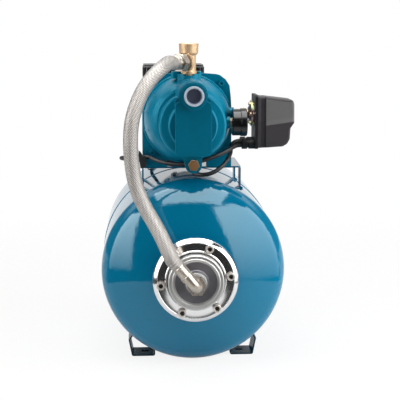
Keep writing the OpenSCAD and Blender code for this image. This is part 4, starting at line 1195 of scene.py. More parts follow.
@dataclass(frozen=True)
class Surroundings:
    """White to the camera and to glass, studio boxes to gloss, and plain light to the rest.

    Spans are the ends of soft steps, in degrees of bearing from the front or of rise from the horizon.
    Those of the ceiling are slopes of the direction, and its mask starts at a height of the direction.
    """

    plain: float = 0.17
    dark: float = 0.03
    sides: float = 0.07
    sides_from: Span = (60, 110)
    backdrop: float = 0.9
    backdrop_from: Span = (146, 160)
    aloft: float = 1.6
    aloft_rise: Span = (24, 40)
    aloft_from: Span = (94, 106)
    ceiling: float = 6.4
    ceiling_across: Span = (-0.57, 0.60)
    ceiling_ahead: Span = (-0.30, 1.0)
    ceiling_soft: float = 0.03
    ceiling_from: Span = (0.2, 0.3)
    boxes: tuple[SoftBox, ...] = (SoftBox(30, 92, lean=0.3), SoftBox(-88, -46, -9, 38, 8.2, 1.4))

    def seen_by_gloss(self, s: Nodes) -> Sock:
        """Brightness of the studio in a direction.

        Args:
            s: The world's nodes.

        Returns:
            The brightness, dark behind the camera and white behind the object.
        """
        x, y, z = s.parts(s.node("ShaderNodeTexCoord", out="Generated"))
        degree = 180 / math.pi
        bearing = x.angle(y * -1) * degree
        rise = z.angle((x * x + y * y) ** 0.5) * degree
        aside = bearing.size()
        backdrop = aside.above(*self.backdrop_from)
        aloft = rise.above(*self.aloft_rise) * aside.above(*self.aloft_from) * (1 - backdrop)
        shown = self.dark + self.sides * aside.above(*self.sides_from)
        shown = shown + self.backdrop * backdrop + self.aloft * aloft
        for box in self.boxes:
            shown = shown + box.shine(bearing, rise)
        across = (x / z).between(*self.ceiling_across, self.ceiling_soft)
        ahead = (y / z * -1).between(*self.ceiling_ahead, self.ceiling_soft)
        return shown + across * ahead * z.above(*self.ceiling_from) * self.ceiling

    def build(self) -> None:
        """Makes the world and its shader."""
        world = bpy.data.worlds.new("studio")
        world.use_nodes = True
        bpy.context.scene.world = world
        s = Nodes(world.node_tree)
        camera, mirror, glass = (s.ray(f"Is {kind} Ray") for kind in ("Camera", "Glossy", "Transmission"))
        rest = (1 - mirror) * (1 - glass) * self.plain
        level = camera + (1 - camera) * (mirror * self.seen_by_gloss(s) + glass + rest)
        sky = s.node("ShaderNodeBackground", None, {"Color": WHITE, "Strength": level})
        s.add("ShaderNodeOutputWorld", None, {"Surface": sky})


@dataclass(frozen=True)
class Floor:
    """Pale floor that keeps the object's shadow, and that gloss shows as a table near the object only.

    Spans are the ends of soft steps in metres, and the table's edge is a share of its half size.
    """

    half: float = 9.0
    base: Colour = (0.86, 0.86, 0.86, 1.0)
    rough: float = 0.9
    level: float = 0.1
    table: tuple[float, float] = (0.62, 0.80)
    squareness: float = 3.5
    table_edge: Span = (0.90, 1.06)
    beside: Span = (-0.15, 0.10)
    behind: Span = (0.2, 0.8)
    fade: Span = (0.45, 1.6)
    white_near: float = 0.86
    matt_near: float = 0.7
    glow: tuple[float, float, float] = (0.03, 0.47, 0.48)

    def build(self) -> None:
        """Makes the floor and its shader."""
        h = self.half
        mesh = bpy.data.meshes.new("floor")
        mesh.from_pydata([(-h, -h, 0), (h, -h, 0), (h, h, 0), (-h, h, 0)], [], [(0, 1, 2, 3)])
        obj = add_object("floor", mesh)
        s = Shader("floor_white")
        camera = s.ray("Is Camera Ray") + s.ray("Is Transmission Ray")
        mirror = s.ray("Is Glossy Ray")
        x, y, _ = s.parts(s.place())
        reach = (x * x + y * y) ** 0.5
        wide, long = ((axis.size() / size) ** self.squareness for axis, size in zip((x, y), self.table))
        off_table = (wide + long).above(*self.table_edge)
        near = 1 - off_table * (1 - y.above(*self.beside))
        behind = y.above(*self.behind)
        white = self.white_near + (1 - self.white_near) * reach.above(*self.fade)
        share = camera * white + mirror * (1 - self.matt_near * near * (1 - behind))
        dim, table, rear = self.glow
        strength = camera + mirror * (dim + table * near + rear * behind)
        s.finish(Base_Color=self.base, Roughness=self.rough, Specular_IOR_Level=self.level)
        glow = s.node("ShaderNodeEmission", None, {"Color": WHITE, "Strength": strength})
        both = s.node("ShaderNodeMixShader", None, {0: share, 1: s.shaded, 2: glow})
        clear = s.node("ShaderNodeBsdfTransparent")
        past = mirror * (1 - near) * (1 - behind)
        shown = s.node("ShaderNodeMixShader", None, {0: past, 1: both, 2: clear})
        s.feed(s.output.inputs["Surface"], shown)
        mesh.materials.append(s.material)


@dataclass(frozen=True)
class Studio:
    """Camera, surroundings, floor and lamps."""

    middle: Point = (0.0, -0.15, 0.25)

    def build(self) -> None:
        """Builds the whole studio."""
        Eye().build()
        Surroundings().build()
        Floor().build()
        for lamp in (Lamp("box_right", (1.70, -0.65, 0.60), self.middle, 1.50, 1.20, 50),
                     Lamp("box_left", (-1.65, -0.60, 0.60), self.middle, 0.90, 1.20, 19),
                     Lamp("box_over", (-0.25, -0.50, 1.80), (0.0, -0.1, 0.35), 1.30, 1.30, 19),
                     Lamp("box_rear", (0.0, 2.0, 1.2), (0.0, 0.0, 0.3), 1.6, 1.2, 10)):
            lamp.build()
        LOG.info("made studio")


# Routes in millimetres. Both leads start at the switch's glands. The hose's lies between its straight ends.
MOTOR_ROUTE = (
    (96, -107, 418), (84, -108, 416), (77, -116, 409), (74, -127, 398), (66, -139, 385), (52, -149, 372),
    (38, -153, 364), (24, -153, 360.5), (12, -148, 360), (4, -139, 361.5), (4, -130, 366), (7, -120, 371.5),
    (8, -108, 374.8), (4, -96, 375), (-6, -80, 375), (-20, -62, 375), (-36, -44, 375), (-50, -30, 376),
    (-62, -16, 379), (-72, -2, 386), (-79, 14, 399), (-83, 30, 418), (-85, 46, 442), (-85, 60, 468),
    (-82, 72, 492), (-75, 80, 512), (-67, 78, 526), (-59.5, 58, 533), (-59.5, 42, 533))
MAINS_ROUTE = (
    (96, -145, 418), (84, -145, 416), (72, -151, 410), (56, -159, 402), (37, -164, 395), (18, -166, 389),
    (0, -165, 385), (-19, -162, 382), (-38, -156, 382), (-56, -147, 384), (-70, -136, 387),
    (-78, -127, 389.5), (-84, -120, 390.5), (-105, -120, 390.5), (-119, -116, 390), (-131, -104, 388),
    (-136, -87, 385),
    (-131, -70, 382), (-119, -57, 379), (-104, -46, 376), (-93, -32, 375), (-88, -14, 375), (-86, 6, 375),
    (-84, 26, 375), (-83, 38, 374.5), (-82, 53, 364), (-81, 70, 346), (-79, 90, 341), (-76, 115, 342.5),
    (-72, 140, 345), (-68, 165, 348), (-64, 187, 345), (-61, 207, 332), (-58, 226, 308), (-56, 241, 278),
    (-54, 251, 242), (-52, 257, 200), (-48, 264, 100), (-45, 276, 30), (-44.4, 290, 12.4), (-45, 300, 7.2),
    (-45.8, 311, 5.0))
HOSE_ROUTE = (
    (-62, -233, 562), (-76, -245, 549), (-88, -255, 534), (-98, -262, 517), (-108, -270, 492),
    (-114, -275, 467), (-116, -278, 439), (-115, -280, 410), (-111, -282, 377), (-104, -285, 350),
    (-91, -292, 321), (-77, -300, 297), (-62, -311, 270))


@dataclass
class Cords:
    """The two leads, their sleeves, the coiled spare length, its tie and the plug."""

    thick: float = 8.0
    coil: tuple[float, float] = (0.0, 335.0)
    inner: float = 40.0
    outer: float = 48.0
    low: float = 4.35
    high: float = 11.7
    turns: float = 3.5
    per_turn: int = 16
    inward_at: float = 0.66
    climb_at: float = 1.50
    outward_at: float = 2.50
    shift_turn: float = 0.12
    climb_turn: float = 0.16
    plug_run: tuple[Point, ...] = ((46.6, 321, 12.6), (44.8, 310, 15.6), (44, 300.4, 19))
    plug_at: Point = (44.0, 300.0, 19.0)
    pin_r: float = 2.4
    pin_half_gap: float = 9.5
    sleeve_r: float = 6.6
    sleeve_taper: float = 2.2
    sleeve_ribs: int = 7
    sleeve_rib: float = 0.25
    sleeve_sides: int = 28
    mains_sleeve: float = 26.0
    motor_sleeves: tuple[float, float] = (24.0, 26.0)
    grip: Profile = ((0, 0), (5.4, 0), (6.4, 9), (9.2, 13), (17.6, 17), (18.8, 21), (18.8, 37),
                     (17.8, 39.4), (0, 39.4))
    grip_radii: tuple[float, ...] = (0, 1, 2, 4, 4, 2, 2, 2, 0)
    grip_ribs: Span = (20, 36)
    pin_span: Span = (38, 57.6)
    pin_edge: float = 1.2
    tie_half: float = 1.6
    tie_wall: float = 0.0009
    tie_reach: Span = (35.4, 51.5)
    tie_rise: Span = (0.5, 16.2)
    tie_bend: float = 4.0

    def coil_points(self) -> list[Vector]:
        """Winds the spare length: out, in, up and out again.

        Returns:
            Points of the coil and of the way to the plug.
        """
        points = []
        for k in range(round(self.turns * self.per_turn) + 1):
            t = k / self.per_turn
            inward = ramp(t - self.inward_at, self.shift_turn) - ramp(t - self.outward_at, self.shift_turn)
            r = self.outer - (self.outer - self.inner) * inward
            z = self.low + (self.high - self.low) * ramp(t - self.climb_at, self.climb_turn)
            a = math.pi - 2 * math.pi * t
            points.append(Vector((self.coil[0] + r * math.cos(a), self.coil[1] + r * math.sin(a), z)))
        return points + [Vector(p) for p in self.plug_run]

    def curve(self, name: str, points: Sequence[Sequence[float]]) -> bpy.types.Object:
        """Makes a round cord on a smooth curve.

        Args:
            name: The cord's name.
            points: The points it passes through.

        Returns:
            The curve object.
        """
        data = bpy.data.curves.new(name, "CURVE")
        data.dimensions = "3D"
        data.bevel_depth = self.thick / 2 * MM
        data.bevel_resolution = 5
        data.use_fill_caps = True
        spline = data.splines.new("BEZIER")
        spline.resolution_u = 8
        spline.bezier_points.add(len(points) - 1)
        for knot, point in zip(spline.bezier_points, points):
            knot.co = Vector(point) * MM
            knot.handle_left_type = knot.handle_right_type = "AUTO"
        return add_object(name, data)

    def sleeve(self, name: str, route: Sequence[Sequence[float]], reach: float) -> bpy.types.Object:
        """Makes a ribbed strain relief that tapers along the start of a route.

        Args:
            name: The sleeve's name.
            route: The cord's points, from the gland on.
            reach: Length of the sleeve.

        Returns:
            The sleeve.
        """
        line = smooth_route(route)
        kept, run = [line[0]], 0.0
        for a, b in zip(line, line[1:]):
            run += (b - a).length
            if run > reach:
                break
            kept.append(b)

        def radius(share: float) -> float:
            """Tapers the sleeve and gives it its ribs."""
            rib = self.sleeve_rib * math.sin(share * 2 * math.pi * self.sleeve_ribs)
            return self.sleeve_r - self.sleeve_taper * share + rib

        return Form().tube(kept, radius, self.sleeve_sides).make(name, Looks.RUBBER, Slot.RUBBER)

    def plug(self) -> bpy.types.Object:
        """Makes the moulded mains plug, with its pins toward the coil's front.

        Returns:
            The plug.
        """
        grip = rounded(self.grip, self.grip_radii, 4)
        r = self.pin_r
        root, tip = self.pin_span
        corners = [(0, root), (r, root), (r, tip - self.pin_edge), (r - 0.7, tip), (0, tip)]
        pin = rounded(corners, [0, 0, 0.8, 0.6, 0], 3)
        first, last = self.grip_ribs

        def oval(a: float, _r: float, h: float) -> float:
            """Flattens the grip and adds shallow finger ribs."""
            rib = 0.025 * math.sin(h * 1.7) if first < h < last else 0.0
            return 1 - 0.10 * math.sin(a) ** 2 * min(h / first, 1) - (0.03 + rib) * abs(math.cos(a))

        form = Form().revolve(grip, self.plug_at, Way.FRONT.value, 72, shape=oval)
        x, y, z = self.plug_at
        for side in (-self.pin_half_gap, self.pin_half_gap):
            form.revolve(pin, (x + side, y, z), Way.FRONT.value, 24, mark=1)
        return form.make("mains_plug_grip", Looks.RUBBER, Slot.RUBBER, replaces=("mains_plug",),
                         more=(Looks.ZINC,))

    def tie(self) -> bpy.types.Object:
        """Makes the soft tie that holds the coil together at its rear.

        Returns:
            The tie.
        """
        (near, far), (low, high) = self.tie_reach, self.tie_rise
        corners = [(near, low), (far, low), (far, high), (near, high)]
        bent = rounded(corners, [self.tie_bend] * 4, 5, True)
        loop = [Vector((0, self.coil[1] + y, z)) for y, z in bent]
        form = Form()
        sides = [Vector((x, 0, 0)) for x in (-self.tie_half, self.tie_half)]
        rings = [form.ring([p + side for side in sides]) for p in loop]
        for ring, after in zip(rings, rings[1:] + rings[:1]):
            form.face((ring[0], ring[1], after[1], after[0]))
        tie = form.make("coil_tie", Looks.RUBBER, Slot.RUBBER)
        skin = tie.modifiers.new("thick", "SOLIDIFY")
        skin.thickness = self.tie_wall
        skin.offset = 0
        return tie

    def build(self) -> None:
        """Builds the cords and what is on them."""
        plug = self.plug()
        tie = self.tie()
        route = [Vector(p) for p in MAINS_ROUTE] + self.coil_points()
        lead = claim(self.curve("mains_cord", route), Looks.CORD, Slot.RUBBER,
                     replaces=("mains_lead", "mains_coil"))
        sleeve = self.sleeve("mains_sleeve", MAINS_ROUTE, self.mains_sleeve)
        [v * MM for v in MAINS_ROUTE[0]]
        route_length(smooth_route(route))
        inner = claim(self.curve("motor_cord", MOTOR_ROUTE), Looks.CORD, Slot.RUBBER,
                      replaces=("motor_lead",))
        first = self.sleeve("motor_sleeve_front", MOTOR_ROUTE, self.motor_sleeves[0])
        last = self.sleeve("motor_sleeve_rear", MOTOR_ROUTE[::-1], self.motor_sleeves[1])
        [v * MM for v in MOTOR_ROUTE[0]]
        route_length(smooth_route(MOTOR_ROUTE))


@dataclass(frozen=True)
class Ferrule:
    """A crimped ferrule with pressed flats and rolled ends.

    Distances run along the hose's way out of the fitting, from the fitting's centre.
    """

    name: str
    centre: Vector
    way: Vector
    near: float
    far: float
    r: float
    wall: float = 4.0
    end: float = 3.2
    grip_in: float = 0.9
    crimp_in: float = 0.35
    crimp_pitch: float = 6.0
    flats: int = 8
    flatness: float = 0.45
    lip: float = 2.6

    def pressed(self, a: float, _r: float, h: float) -> float:
        """Factor of the radius on the pressed flats.

        Args:
            a: Angle about the hose.
            _r: Radius before pressing.
            h: Distance along the ferrule.

        Returns:
            The factor.
        """
        step = 2 * math.pi / self.flats
        bulge = 1 - math.cos(step / 2) / math.cos(a % step - step / 2)
        return 1 - self.flatness * bulge if self.near + self.lip < h < self.far - self.lip else 1.0

    def build(self) -> None:
        """Makes the ferrule."""
        r, near, far = self.r, self.near, self.far
        grip = r - self.grip_in
        crimp = grip - self.crimp_in
        line = [(r - self.wall, near), (r - 0.8, near), (r, near + 0.9), (r, near + 2.2),
                (grip, near + self.end)]
        rows = max(int((far - near) // self.crimp_pitch), 1)
        span = (far - near - 2 * self.end) / rows
        for k in range(rows):
            low = near + self.end + span * k
            line += [(grip, low + 0.2), (crimp, low + span / 2 - 0.6), (crimp, low + span / 2 + 0.6),
                     (grip, low + span - 0.2)]
        line += [(grip, far - self.end), (r, far - 2.2), (r, far - 0.9), (r - 0.8, far),
                 (r - self.wall, far)]
        Form().revolve(line, self.centre, self.way, 96, closed=True, shape=self.pressed).make(
            self.name, Looks.NICKEL, Slot.NICKEL, replaces=("hose_ferrules",))


@dataclass
class Hose:
    """Braided hose with its ferrules, from the tee's side port to the elbow on the tank's cap."""

    braid_r: float = 13.3
    start_r: float = 12.6
    end_r: float = 11.7
    grip_share: float = 0.07
    lead_in: float = 9.0
    sides: int = 48
    tee_turn: float = 39.0
    elbow_turn: float = 130.0
    tee: Point = (-7.5, -160, 572.5)
    elbow: Point = (0, -323.04, 180)
    top_span: Span = (32.3, 45.3)
    top_r: float = 13.35
    low_span: Span = (29.0, 53.0)
    low_r: float = 12.25

    def swell(self, share: float) -> float:
        """Radius along the hose, drawn in where the ferrules grip it.

        Args:
            share: Share of the hose's length.

        Returns:
            The radius.
        """
        first, last = ((1 - min(part / self.grip_share, 1)) ** 2 for part in (share, 1 - share))
        return self.braid_r - (self.braid_r - self.start_r) * first - (self.braid_r - self.end_r) * last

    def build(self) -> None:
        """Builds the hose and its two ferrules, and dresses the fittings."""
        turn, rise = math.radians(self.tee_turn), math.radians(self.elbow_turn)
        tee, tee_way = Vector(self.tee), Vector((-math.sin(turn), -math.cos(turn), 0))
        elbow, elbow_way = Vector(self.elbow), Vector((math.cos(rise), 0, math.sin(rise)))
        start, end = tee + self.top_span[1] * tee_way, elbow + self.low_span[1] * elbow_way
        straight = [self.lead_in * k for k in range(3)]
        points = [start + run * tee_way for run in straight] + [Vector(p) for p in HOSE_ROUTE]
        points += [end + run * elbow_way for run in straight[::-1]]
        route = smooth_route(points)
        hose = Form().tube(route, self.swell, self.sides).make(
            "hose_braid", Looks.BRAID, Slot.BRAID, replaces=("braided_hose",))
        route_length(route)
        Ferrule("ferrule_top", tee, tee_way, *self.top_span, self.top_r).build()
        Ferrule("ferrule_low", elbow, elbow_way, *self.low_span, self.low_r).build()
        dress(Looks.NICKEL, "swivel_nut", "hose_elbow", "port_nipple")
        dress(Looks.BRASS, "brass_tee")


@dataclass
class Tank:
    """The pressed shells, the weld, the feet and the pump's bracket."""

    r: float = 175.0
    half: float = 166.0
    crown: float = 300.0
    knuckle: float = 48.0
    wall: float = 2.0
    side_rows: tuple[float, float] = (40.0, 100.0)
    axis: Point = (0.0, 0.0, 180.0)
    neck_r: float = 73.0
    neck_in: float = 71.0
    neck_y: float = 255.04
    neck_low: float = 252.0
    neck_start: float = 3.0
    neck_bend: Profile = ((74.2, 1.4), (73.3, 3.2), (73.0, 6.0))
    neck_edge: float = 0.4
    valve_r: float = 6.5
    weld_half: float = 3.0
    weld_foot: float = 1.6
    ripples: int = 210
    ripple_share: float = 0.0004

    def dome(self, inset: float, low_r: float) -> Pairs:
        """Profile of a shell from the girth weld to the dome.

        Args:
            inset: Distance inside the outer face.
            low_r: Radius at which the dome ends.

        Returns:
            Pairs of radius and distance from the weld.
        """
        rise = self.crown - math.sqrt((self.crown - self.knuckle) ** 2 - (self.r - self.knuckle) ** 2)
        turn = math.degrees(math.asin((self.r - self.knuckle) / (self.crown - self.knuckle)))
        back = self.half + rise - self.crown
        side = [(self.r - inset, y) for y in (self.weld_half, *self.side_rows, self.half)]
        bend = arc(self.r - self.knuckle, self.half, self.knuckle - inset, 0, 90 - turn, 20)
        last = math.degrees(math.asin(low_r / (self.crown - inset)))
        face = arc(0, back, self.crown - inset, 90 - turn, 90 - last, 40)
        return side + bend[1:] + face[1:]

    def shell(self, name: str, outer: Profile, low_r: float, way: Way, node: str) -> None:
        """Makes a half shell.

        Args:
            name: The piece's name.
            outer: Its outer profile, from the weld to the end of the dome.
            low_r: Radius at which its inside ends.
            way: The way its dome faces.
            node: The CAD node that it stands for.
        """
        profile = list(outer) + self.dome(self.wall, low_r)[::-1]
        Form().revolve(profile, self.axis, way.value, 288, closed=True).make(
            name, Looks.ENAMEL, Slot.PAINT, replaces=(node,), sharp=50)

    def weld(self) -> None:
        """Makes the weld between the shells, with crescents along its bead."""
        half, r = self.weld_half, self.r
        bead = [(r - self.weld_foot, -half - 0.1), (r - 0.1, -half)]
        bead += [(r + math.cos(math.pi / 2 * k / 6), half * k / 6) for k in range(-6, 7)]
        bead += [(r - 0.1, half), (r - self.weld_foot, half + 0.1)]

        def ripple(a: float, size: float, h: float) -> float:
            """Scales of the weld, in crescents along the seam."""
            wave = math.sin(a * self.ripples + abs(h) * 0.7)
            return 1 + self.ripple_share * wave if size > r + 0.2 else 1.0

        Form().revolve(bead, self.axis, Way.REAR.value, 1080, closed=True, shape=ripple).make(
            "weld_bead", Looks.ENAMEL, Slot.PAINT, replaces=("girth_weld",), sharp=60)

    def build(self) -> None:
        """Builds the tank and dresses what carries it."""
        front = self.dome(0, self.neck_r + self.neck_start)
        end = front[-1][1]
        front += [(r, end + rise) for r, rise in self.neck_bend]
        front += [(self.neck_r, self.neck_y - self.neck_edge), (self.neck_r - self.neck_edge, self.neck_y),
                  (self.neck_in, self.neck_y), (self.neck_in, self.neck_low)]
        self.shell("shell_front", front, self.neck_in, Way.FRONT, "tank_front_shell")
        rear = self.dome(0, self.valve_r)
        rear += [(self.valve_r, rear[-1][1] - self.wall)]
        self.shell("shell_rear", rear, self.valve_r, Way.REAR, "tank_rear_shell")
        self.weld()
        dress(Looks.FEET, "tank_feet")
        dress(Looks.BRACKET, "bracket_legs", "bracket_plate")
        dress(Looks.RUBBER, "tank_membrane")
        dress(Looks.ZINC, "air_valve", "foot_bolts")
        dress(Looks.BLACK, "air_valve_cap")


@dataclass
class Flange:
    """The chromed ring, the zinc cap and the socket screws on the tank's front."""

    origin: Point = (0.0, -257.04, 180.0)
    seat: float = 4.9
    edge_r: float = 78.5
    edge: tuple[float, float] = (0.7, 0.4)
    band: Point = (62.77, -10.41, 19.2)
    band_turn: Span = (35, 65)
    groove: Profile = ((70.5, 6.8), (70.3, 6.2))
    bead_r: float = 1.8
    bore_r: float = 53.0
    flat_r: float = 63.5
    hollow_r: float = 126.0
    hollow_turn: float = 3.0
    pitch_r: float = 64.5
    first: float = 7.0
    count: int = 6
    head_r: float = 7.8
    head_top: float = 6.7
    socket_r: float = 4.6
    socket_reach: float = 5.0
    socket_floor: float = 2.6
    socket_sides: int = 6

    def ring(self) -> None:
        """Makes the ring, with a rolled band, a faintly dished flat and a bead at its bore."""
        line = [(self.bore_r, 0), (self.edge_r - self.edge[0], 0), (self.edge_r, self.edge[1])]
        line += arc(*self.band, *self.band_turn, 14)
        line += [*self.groove, (self.groove[-1][0], self.seat + 0.3)]
        rim = math.cos(math.radians(self.hollow_turn))
        for k in range(13):
            t = math.radians(self.hollow_turn * (1 - k / 6))
            drop = self.hollow_r * (rim - math.cos(t))
            line.append((self.flat_r + self.hollow_r * math.sin(t), self.seat + drop))
        line += arc(self.bore_r + self.bead_r, self.seat, self.bead_r, 0, 180, 8)
        Form().revolve(line, self.origin, Way.FRONT.value, 192, closed=True).make(
            "chrome_ring", Looks.CHROME, Slot.CHROME, replaces=("flange_ring",), sharp=30, even=True)

    def screws(self) -> None:
        """Makes the six round-headed socket screws, with painted shade in the socket of each."""
        r, floor = self.head_r, self.socket_floor
        line = [(0, floor), (self.socket_r, floor), (self.socket_r + 0.1, self.head_top - 0.5),
                (self.socket_r + 0.7, self.head_top), (r - 1.4, self.head_top), (r - 0.3, 6.0), (r, 4.9),
                (r, -2), (0, -2)]
        step = 2 * math.pi / self.socket_sides

        def in_socket(size: float, h: float) -> bool:
            """Whether a place of the profile is in the socket."""
            return size < self.socket_reach and h > 0

        def socket(a: float, size: float, h: float) -> float:
            """Factor of the radius on the socket's flats."""
            return math.cos(step / 2) / math.cos(a % step - step / 2) if in_socket(size, h) else 1.0

        form = Form()
        x, y, z = self.origin
        for k in range(self.count):
            a = math.radians(self.first + 360 * k / self.count)
            spot = (x + self.pitch_r * math.cos(a), y - self.seat, z + self.pitch_r * math.sin(a))
            form.revolve(line, spot, Way.FRONT.value, 48, shape=socket, marks=in_socket)
        form.make("flange_screws", Looks.BOLT, Slot.ZINC, replaces=("flange_bolts",), sharp=40,
                  more=(Looks.SOCKET,))

    def build(self) -> None:
        """Builds the ring and its screws, and dresses the cap."""
        self.ring()
        self.screws()
        dress(Looks.CAP, "flange_cap")


@dataclass
class Pump:
    """The pump's casing, its plugs and its inner parts."""

    rim_r: float = 18.2
    cup_r: float = 14.3
    shank_r: float = 14.8
    collar: float = 3.5

    def plug(self) -> None:
        """Makes the push-in transit plug, pale on its rim and dark in its cup."""
        low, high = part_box("suction_plug")
        middle = (low + high) / 2 / MM
        deep = (high.y - low.y) / MM
        cup, rim, collar, shank = self.cup_r, self.rim_r, self.collar, self.shank_r
        line = [(0, deep - 2), (cup - 1.6, deep - 2), (cup - 1.4, 4.2), (cup, 3.4), (cup, 0.5),
                (cup + 0.5, 0), (rim - 0.7, 0), (rim, 0.7), (rim, collar), (shank, collar),
                (shank, deep - 1), (shank - 1, deep), (0, deep)]

        def in_cup(r: float, h: float) -> bool:
            """Whether a band of the profile is the cup's wall or floor."""
            return r <= cup and 0.4 < h < deep - 1.5 or r < cup - 1.5 and h < deep - 1

        Form().revolve(line, (middle.x, low.y / MM, middle.z), Way.REAR.value, marks=in_cup).make(
            "plug_cup", Looks.RIM, Slot.PLUG, Body.PLUG, ("suction_plug",), sharp=40, more=(Looks.SLATE,))

    def build(self) -> None:
        """Dresses the pump and builds its transit plug."""
        dress(Looks.CAST, "pump_casing", "adapter", "adapter_screws")
        dress(Looks.BRONZE, "drain_plug")
        dress(Looks.WHITE, "ejector", "diffuser")
        dress(Looks.BRASS, "impeller", "gauge_stem", "switch_nipple")
        dress(Looks.RUBBER, "shaft_seal")
        self.plug()


@dataclass
class Motor:
    """The motor, its fan and its terminal box."""

    def build(self) -> None:
        """Dresses the motor."""
        dress(Looks.CAST, "motor_housing", "rear_shield")
        dress(Looks.IRON, "stator", "rotor")
        dress(Looks.STEEL, "motor_shaft", "shaft_bearings")
        dress(Looks.BLACK, "cooling_fan", "fan_cover", "motor_foot", "cable_glands")
        dress(Looks.LID, "terminal_box", "terminal_lid")
        dress(Looks.ALLOY, "capacitor")
        dress(Looks.RUBBER, "lead_clip")


@dataclass
class Gauge:
    """The pressure gauge on the pump's right side."""

    centre: Point = (97.05, -165.0, 461.0)
    sweep: float = 270.0
    steps: int = 10
    ticks: int = 5
    tick_r: float = 22.2
    long_tick: tuple[float, float] = (18.2, 1.0)
    short_tick: tuple[float, float] = (20.2, 0.45)
    tick_lift: float = 0.02
    tick_high: float = 0.08
    number_r: float = 14.6
    number_lift: float = 0.06
    number_size: float = 0.0058
    number_half: float = 0.00004

    def spot(self, share: float, r: float, lift: float, aside: float = 0.0) -> Vector:
        """A point of the dial's face.

        Args:
            share: Share of the scale, from its zero on.
            r: Distance from the centre.
            lift: Height above the face.
            aside: Degrees past the share, clockwise as the dial is read.

        Returns:
            The point.
        """
        a = math.radians(-self.sweep / 2 + self.sweep * share + aside)
        x, y, z = self.centre
        return Vector((x + lift, y + r * math.sin(a), z + r * math.cos(a)))

    def marks(self) -> None:
        """Makes the scale's long and short ticks."""
        form = Form()
        count = self.steps * self.ticks
        for k in range(count + 1):
            inner, half = self.short_tick if k % self.ticks else self.long_tick
            corners = ((inner, -half), (inner, half), (self.tick_r, half), (self.tick_r, -half))
            low = [self.spot(k / count, r, self.tick_lift, aside) for r, aside in corners]
            a, b = form.ring(low), form.ring([p + Vector((self.tick_high, 0, 0)) for p in low])
            form.bridge(a, b)
            form.face(b)
            form.face(a[::-1])
        form.make("dial_ticks", Looks.INK, Slot.DIAL, sharp=20)

    def numbers(self) -> None:
        """Makes the scale's numbers, 0 to 10, as flat raised figures."""
        facing = Matrix(((0, 0, 1, 0), (1, 0, 0, 0), (0, 1, 0, 0), (0, 0, 0, 1)))
        for k in range(0, self.steps + 1, 2):
            name = f"dial_number_{k}"
            text = bpy.data.curves.new(name, "FONT")
            text.body = str(k)
            text.size = self.number_size
            text.extrude = self.number_half
            text.align_x = text.align_y = "CENTER"
            text.resolution_u = 3
            maker = add_object(name, text)
            spot = self.spot(k / self.steps, self.number_r, self.number_lift)
            bpy.context.view_layer.update()
            mesh = bpy.data.meshes.new_from_object(maker)
            mesh.transform(Matrix.Translation(spot * MM) @ facing)
            bpy.data.objects.remove(maker)
            mesh.materials.clear()
            claim(add_object(name, mesh), Looks.INK, Slot.DIAL)

    def build(self) -> None:
        """Builds the scale and dresses the gauge."""
        self.marks()
        self.numbers()
        dress(Looks.GAUGE, "gauge_case", "gauge_pointer")
        dress(Looks.DIAL, "gauge_dial")
        dress(Looks.GLASS, "gauge_lens")


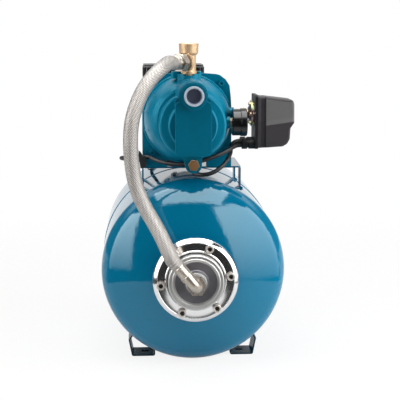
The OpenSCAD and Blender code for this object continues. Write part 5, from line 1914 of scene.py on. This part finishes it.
@dataclass
class Switch:
    """The pressure switch and its cover, which leans in above and below its crease."""

    left: float = 124.0
    foot: float = 410.0
    front: float = -158.0
    rear: float = -92.0
    outline: Profile = ((0, 0), (48, 3), (56, 8), (61, 17), (62, 38), (69, 48), (69, 83), (67, 89),
                        (64, 91.5), (15, 97.4), (0, 98))
    radii: tuple[float, ...] = (0, 10, 8, 8, 8, 8, 6, 4, 4, 6, 0)
    edge_r: float = 4.5
    edge_steps: int = 6
    sharp: float = 28.0
    side_sharp: float = 14.0
    hem: float = 5.5
    step_to: float = 15.0
    step_run: float = 1.5
    step_in: float = 2.6
    hem_in: float = 1.2
    crease: Span = (50.0, 53.0)
    low_in: float = 3.2
    top_in: float = 4.0
    top_run: float = 47.0
    cuts_across: tuple[float, ...] = (5.5, 13.5, 15.0)
    cuts_up: tuple[float, ...] = (50.0, 53.0, 8.0, 90.0)
    cut_reach: float = 1e-7

    def inset(self, u: float, v: float) -> float:
        """Distance that the cover's sides stand in from its widest line.

        Args:
            u: Distance from the cover's left edge.
            v: Height above its foot.

        Returns:
            The distance in millimetres.
        """
        if u > self.hem:
            step = self.step_in * ramp(self.step_to - u, self.step_run)
        else:
            step = self.hem_in + (self.step_in - self.hem_in) * max(u, 0) / self.hem
        low = self.low_in * ramp(self.crease[0] - v, self.crease[0])
        lean = self.top_in * max(v - self.crease[1], 0) / self.top_run
        return step + low + lean

    def cover(self) -> None:
        """Makes the moulded cover, with a stepped and creased face on both sides."""

        def place(u: float, v: float, w: float) -> Vector:
            """Puts the outline upright, with its depth from front to rear."""
            return Vector((self.left + u, self.front + w, self.foot + v))

        wide = self.rear - self.front
        steps = self.edge_steps
        line = rounded(self.outline, self.radii, steps, True)
        cover = Form().slab(line, wide, place, self.edge_r, steps, upright=0.0).make(
            "cover_shell", Looks.COVER, Slot.COVER, Body.COVER, ("switch_cover",), self.sharp, even=True)
        bm = bmesh.new()
        bm.from_mesh(cover.data)
        cuts = [(place(u, 0, 0), Vector((1, 0, 0))) for u in self.cuts_across]
        cuts += [(place(0, v, 0), Vector((0, 0, 1))) for v in self.cuts_up]
        for point, way in cuts:
            every = bm.verts[:] + bm.edges[:] + bm.faces[:]
            bmesh.ops.bisect_plane(bm, geom=every, plane_co=point * MM, plane_no=way, dist=self.cut_reach)
        middle = (self.front + self.rear) / 2 * MM
        for vertex in bm.verts:
            side = vertex.co.y - middle
            share = min(abs(side) / (wide / 2 * MM), 1.0)
            inset = self.inset(vertex.co.x / MM - self.left, vertex.co.z / MM - self.foot) * MM
            vertex.co.y = middle + math.copysign(abs(side) - inset * share, side)
        bm.to_mesh(cover.data)
        bm.free()
        cover.data.set_sharp_from_angle(angle=math.radians(self.side_sharp))

    def build(self) -> None:
        """Builds the cover and dresses the switch."""
        self.cover()
        dress(Looks.GOLD, "diaphragm_housing")
        dress(Looks.ZINC, "switch_lever", "switch_spring")
        dress(Looks.BLACK, "switch_base")
        dress(Looks.CONTACT, "contact_block")


def main() -> None:
    """Builds the studio, the cords and the object's sub-assemblies in order."""
    logging.basicConfig(level=logging.INFO, format="%(message)s")
    bpy.context.scene.view_settings.view_transform = "Standard"
    for part in (Studio(), Cords(), Hose(), Tank(), Flange(), Pump(), Motor(), Gauge(), Switch()):
        part.build()


if __name__ == "__main__":
    main()
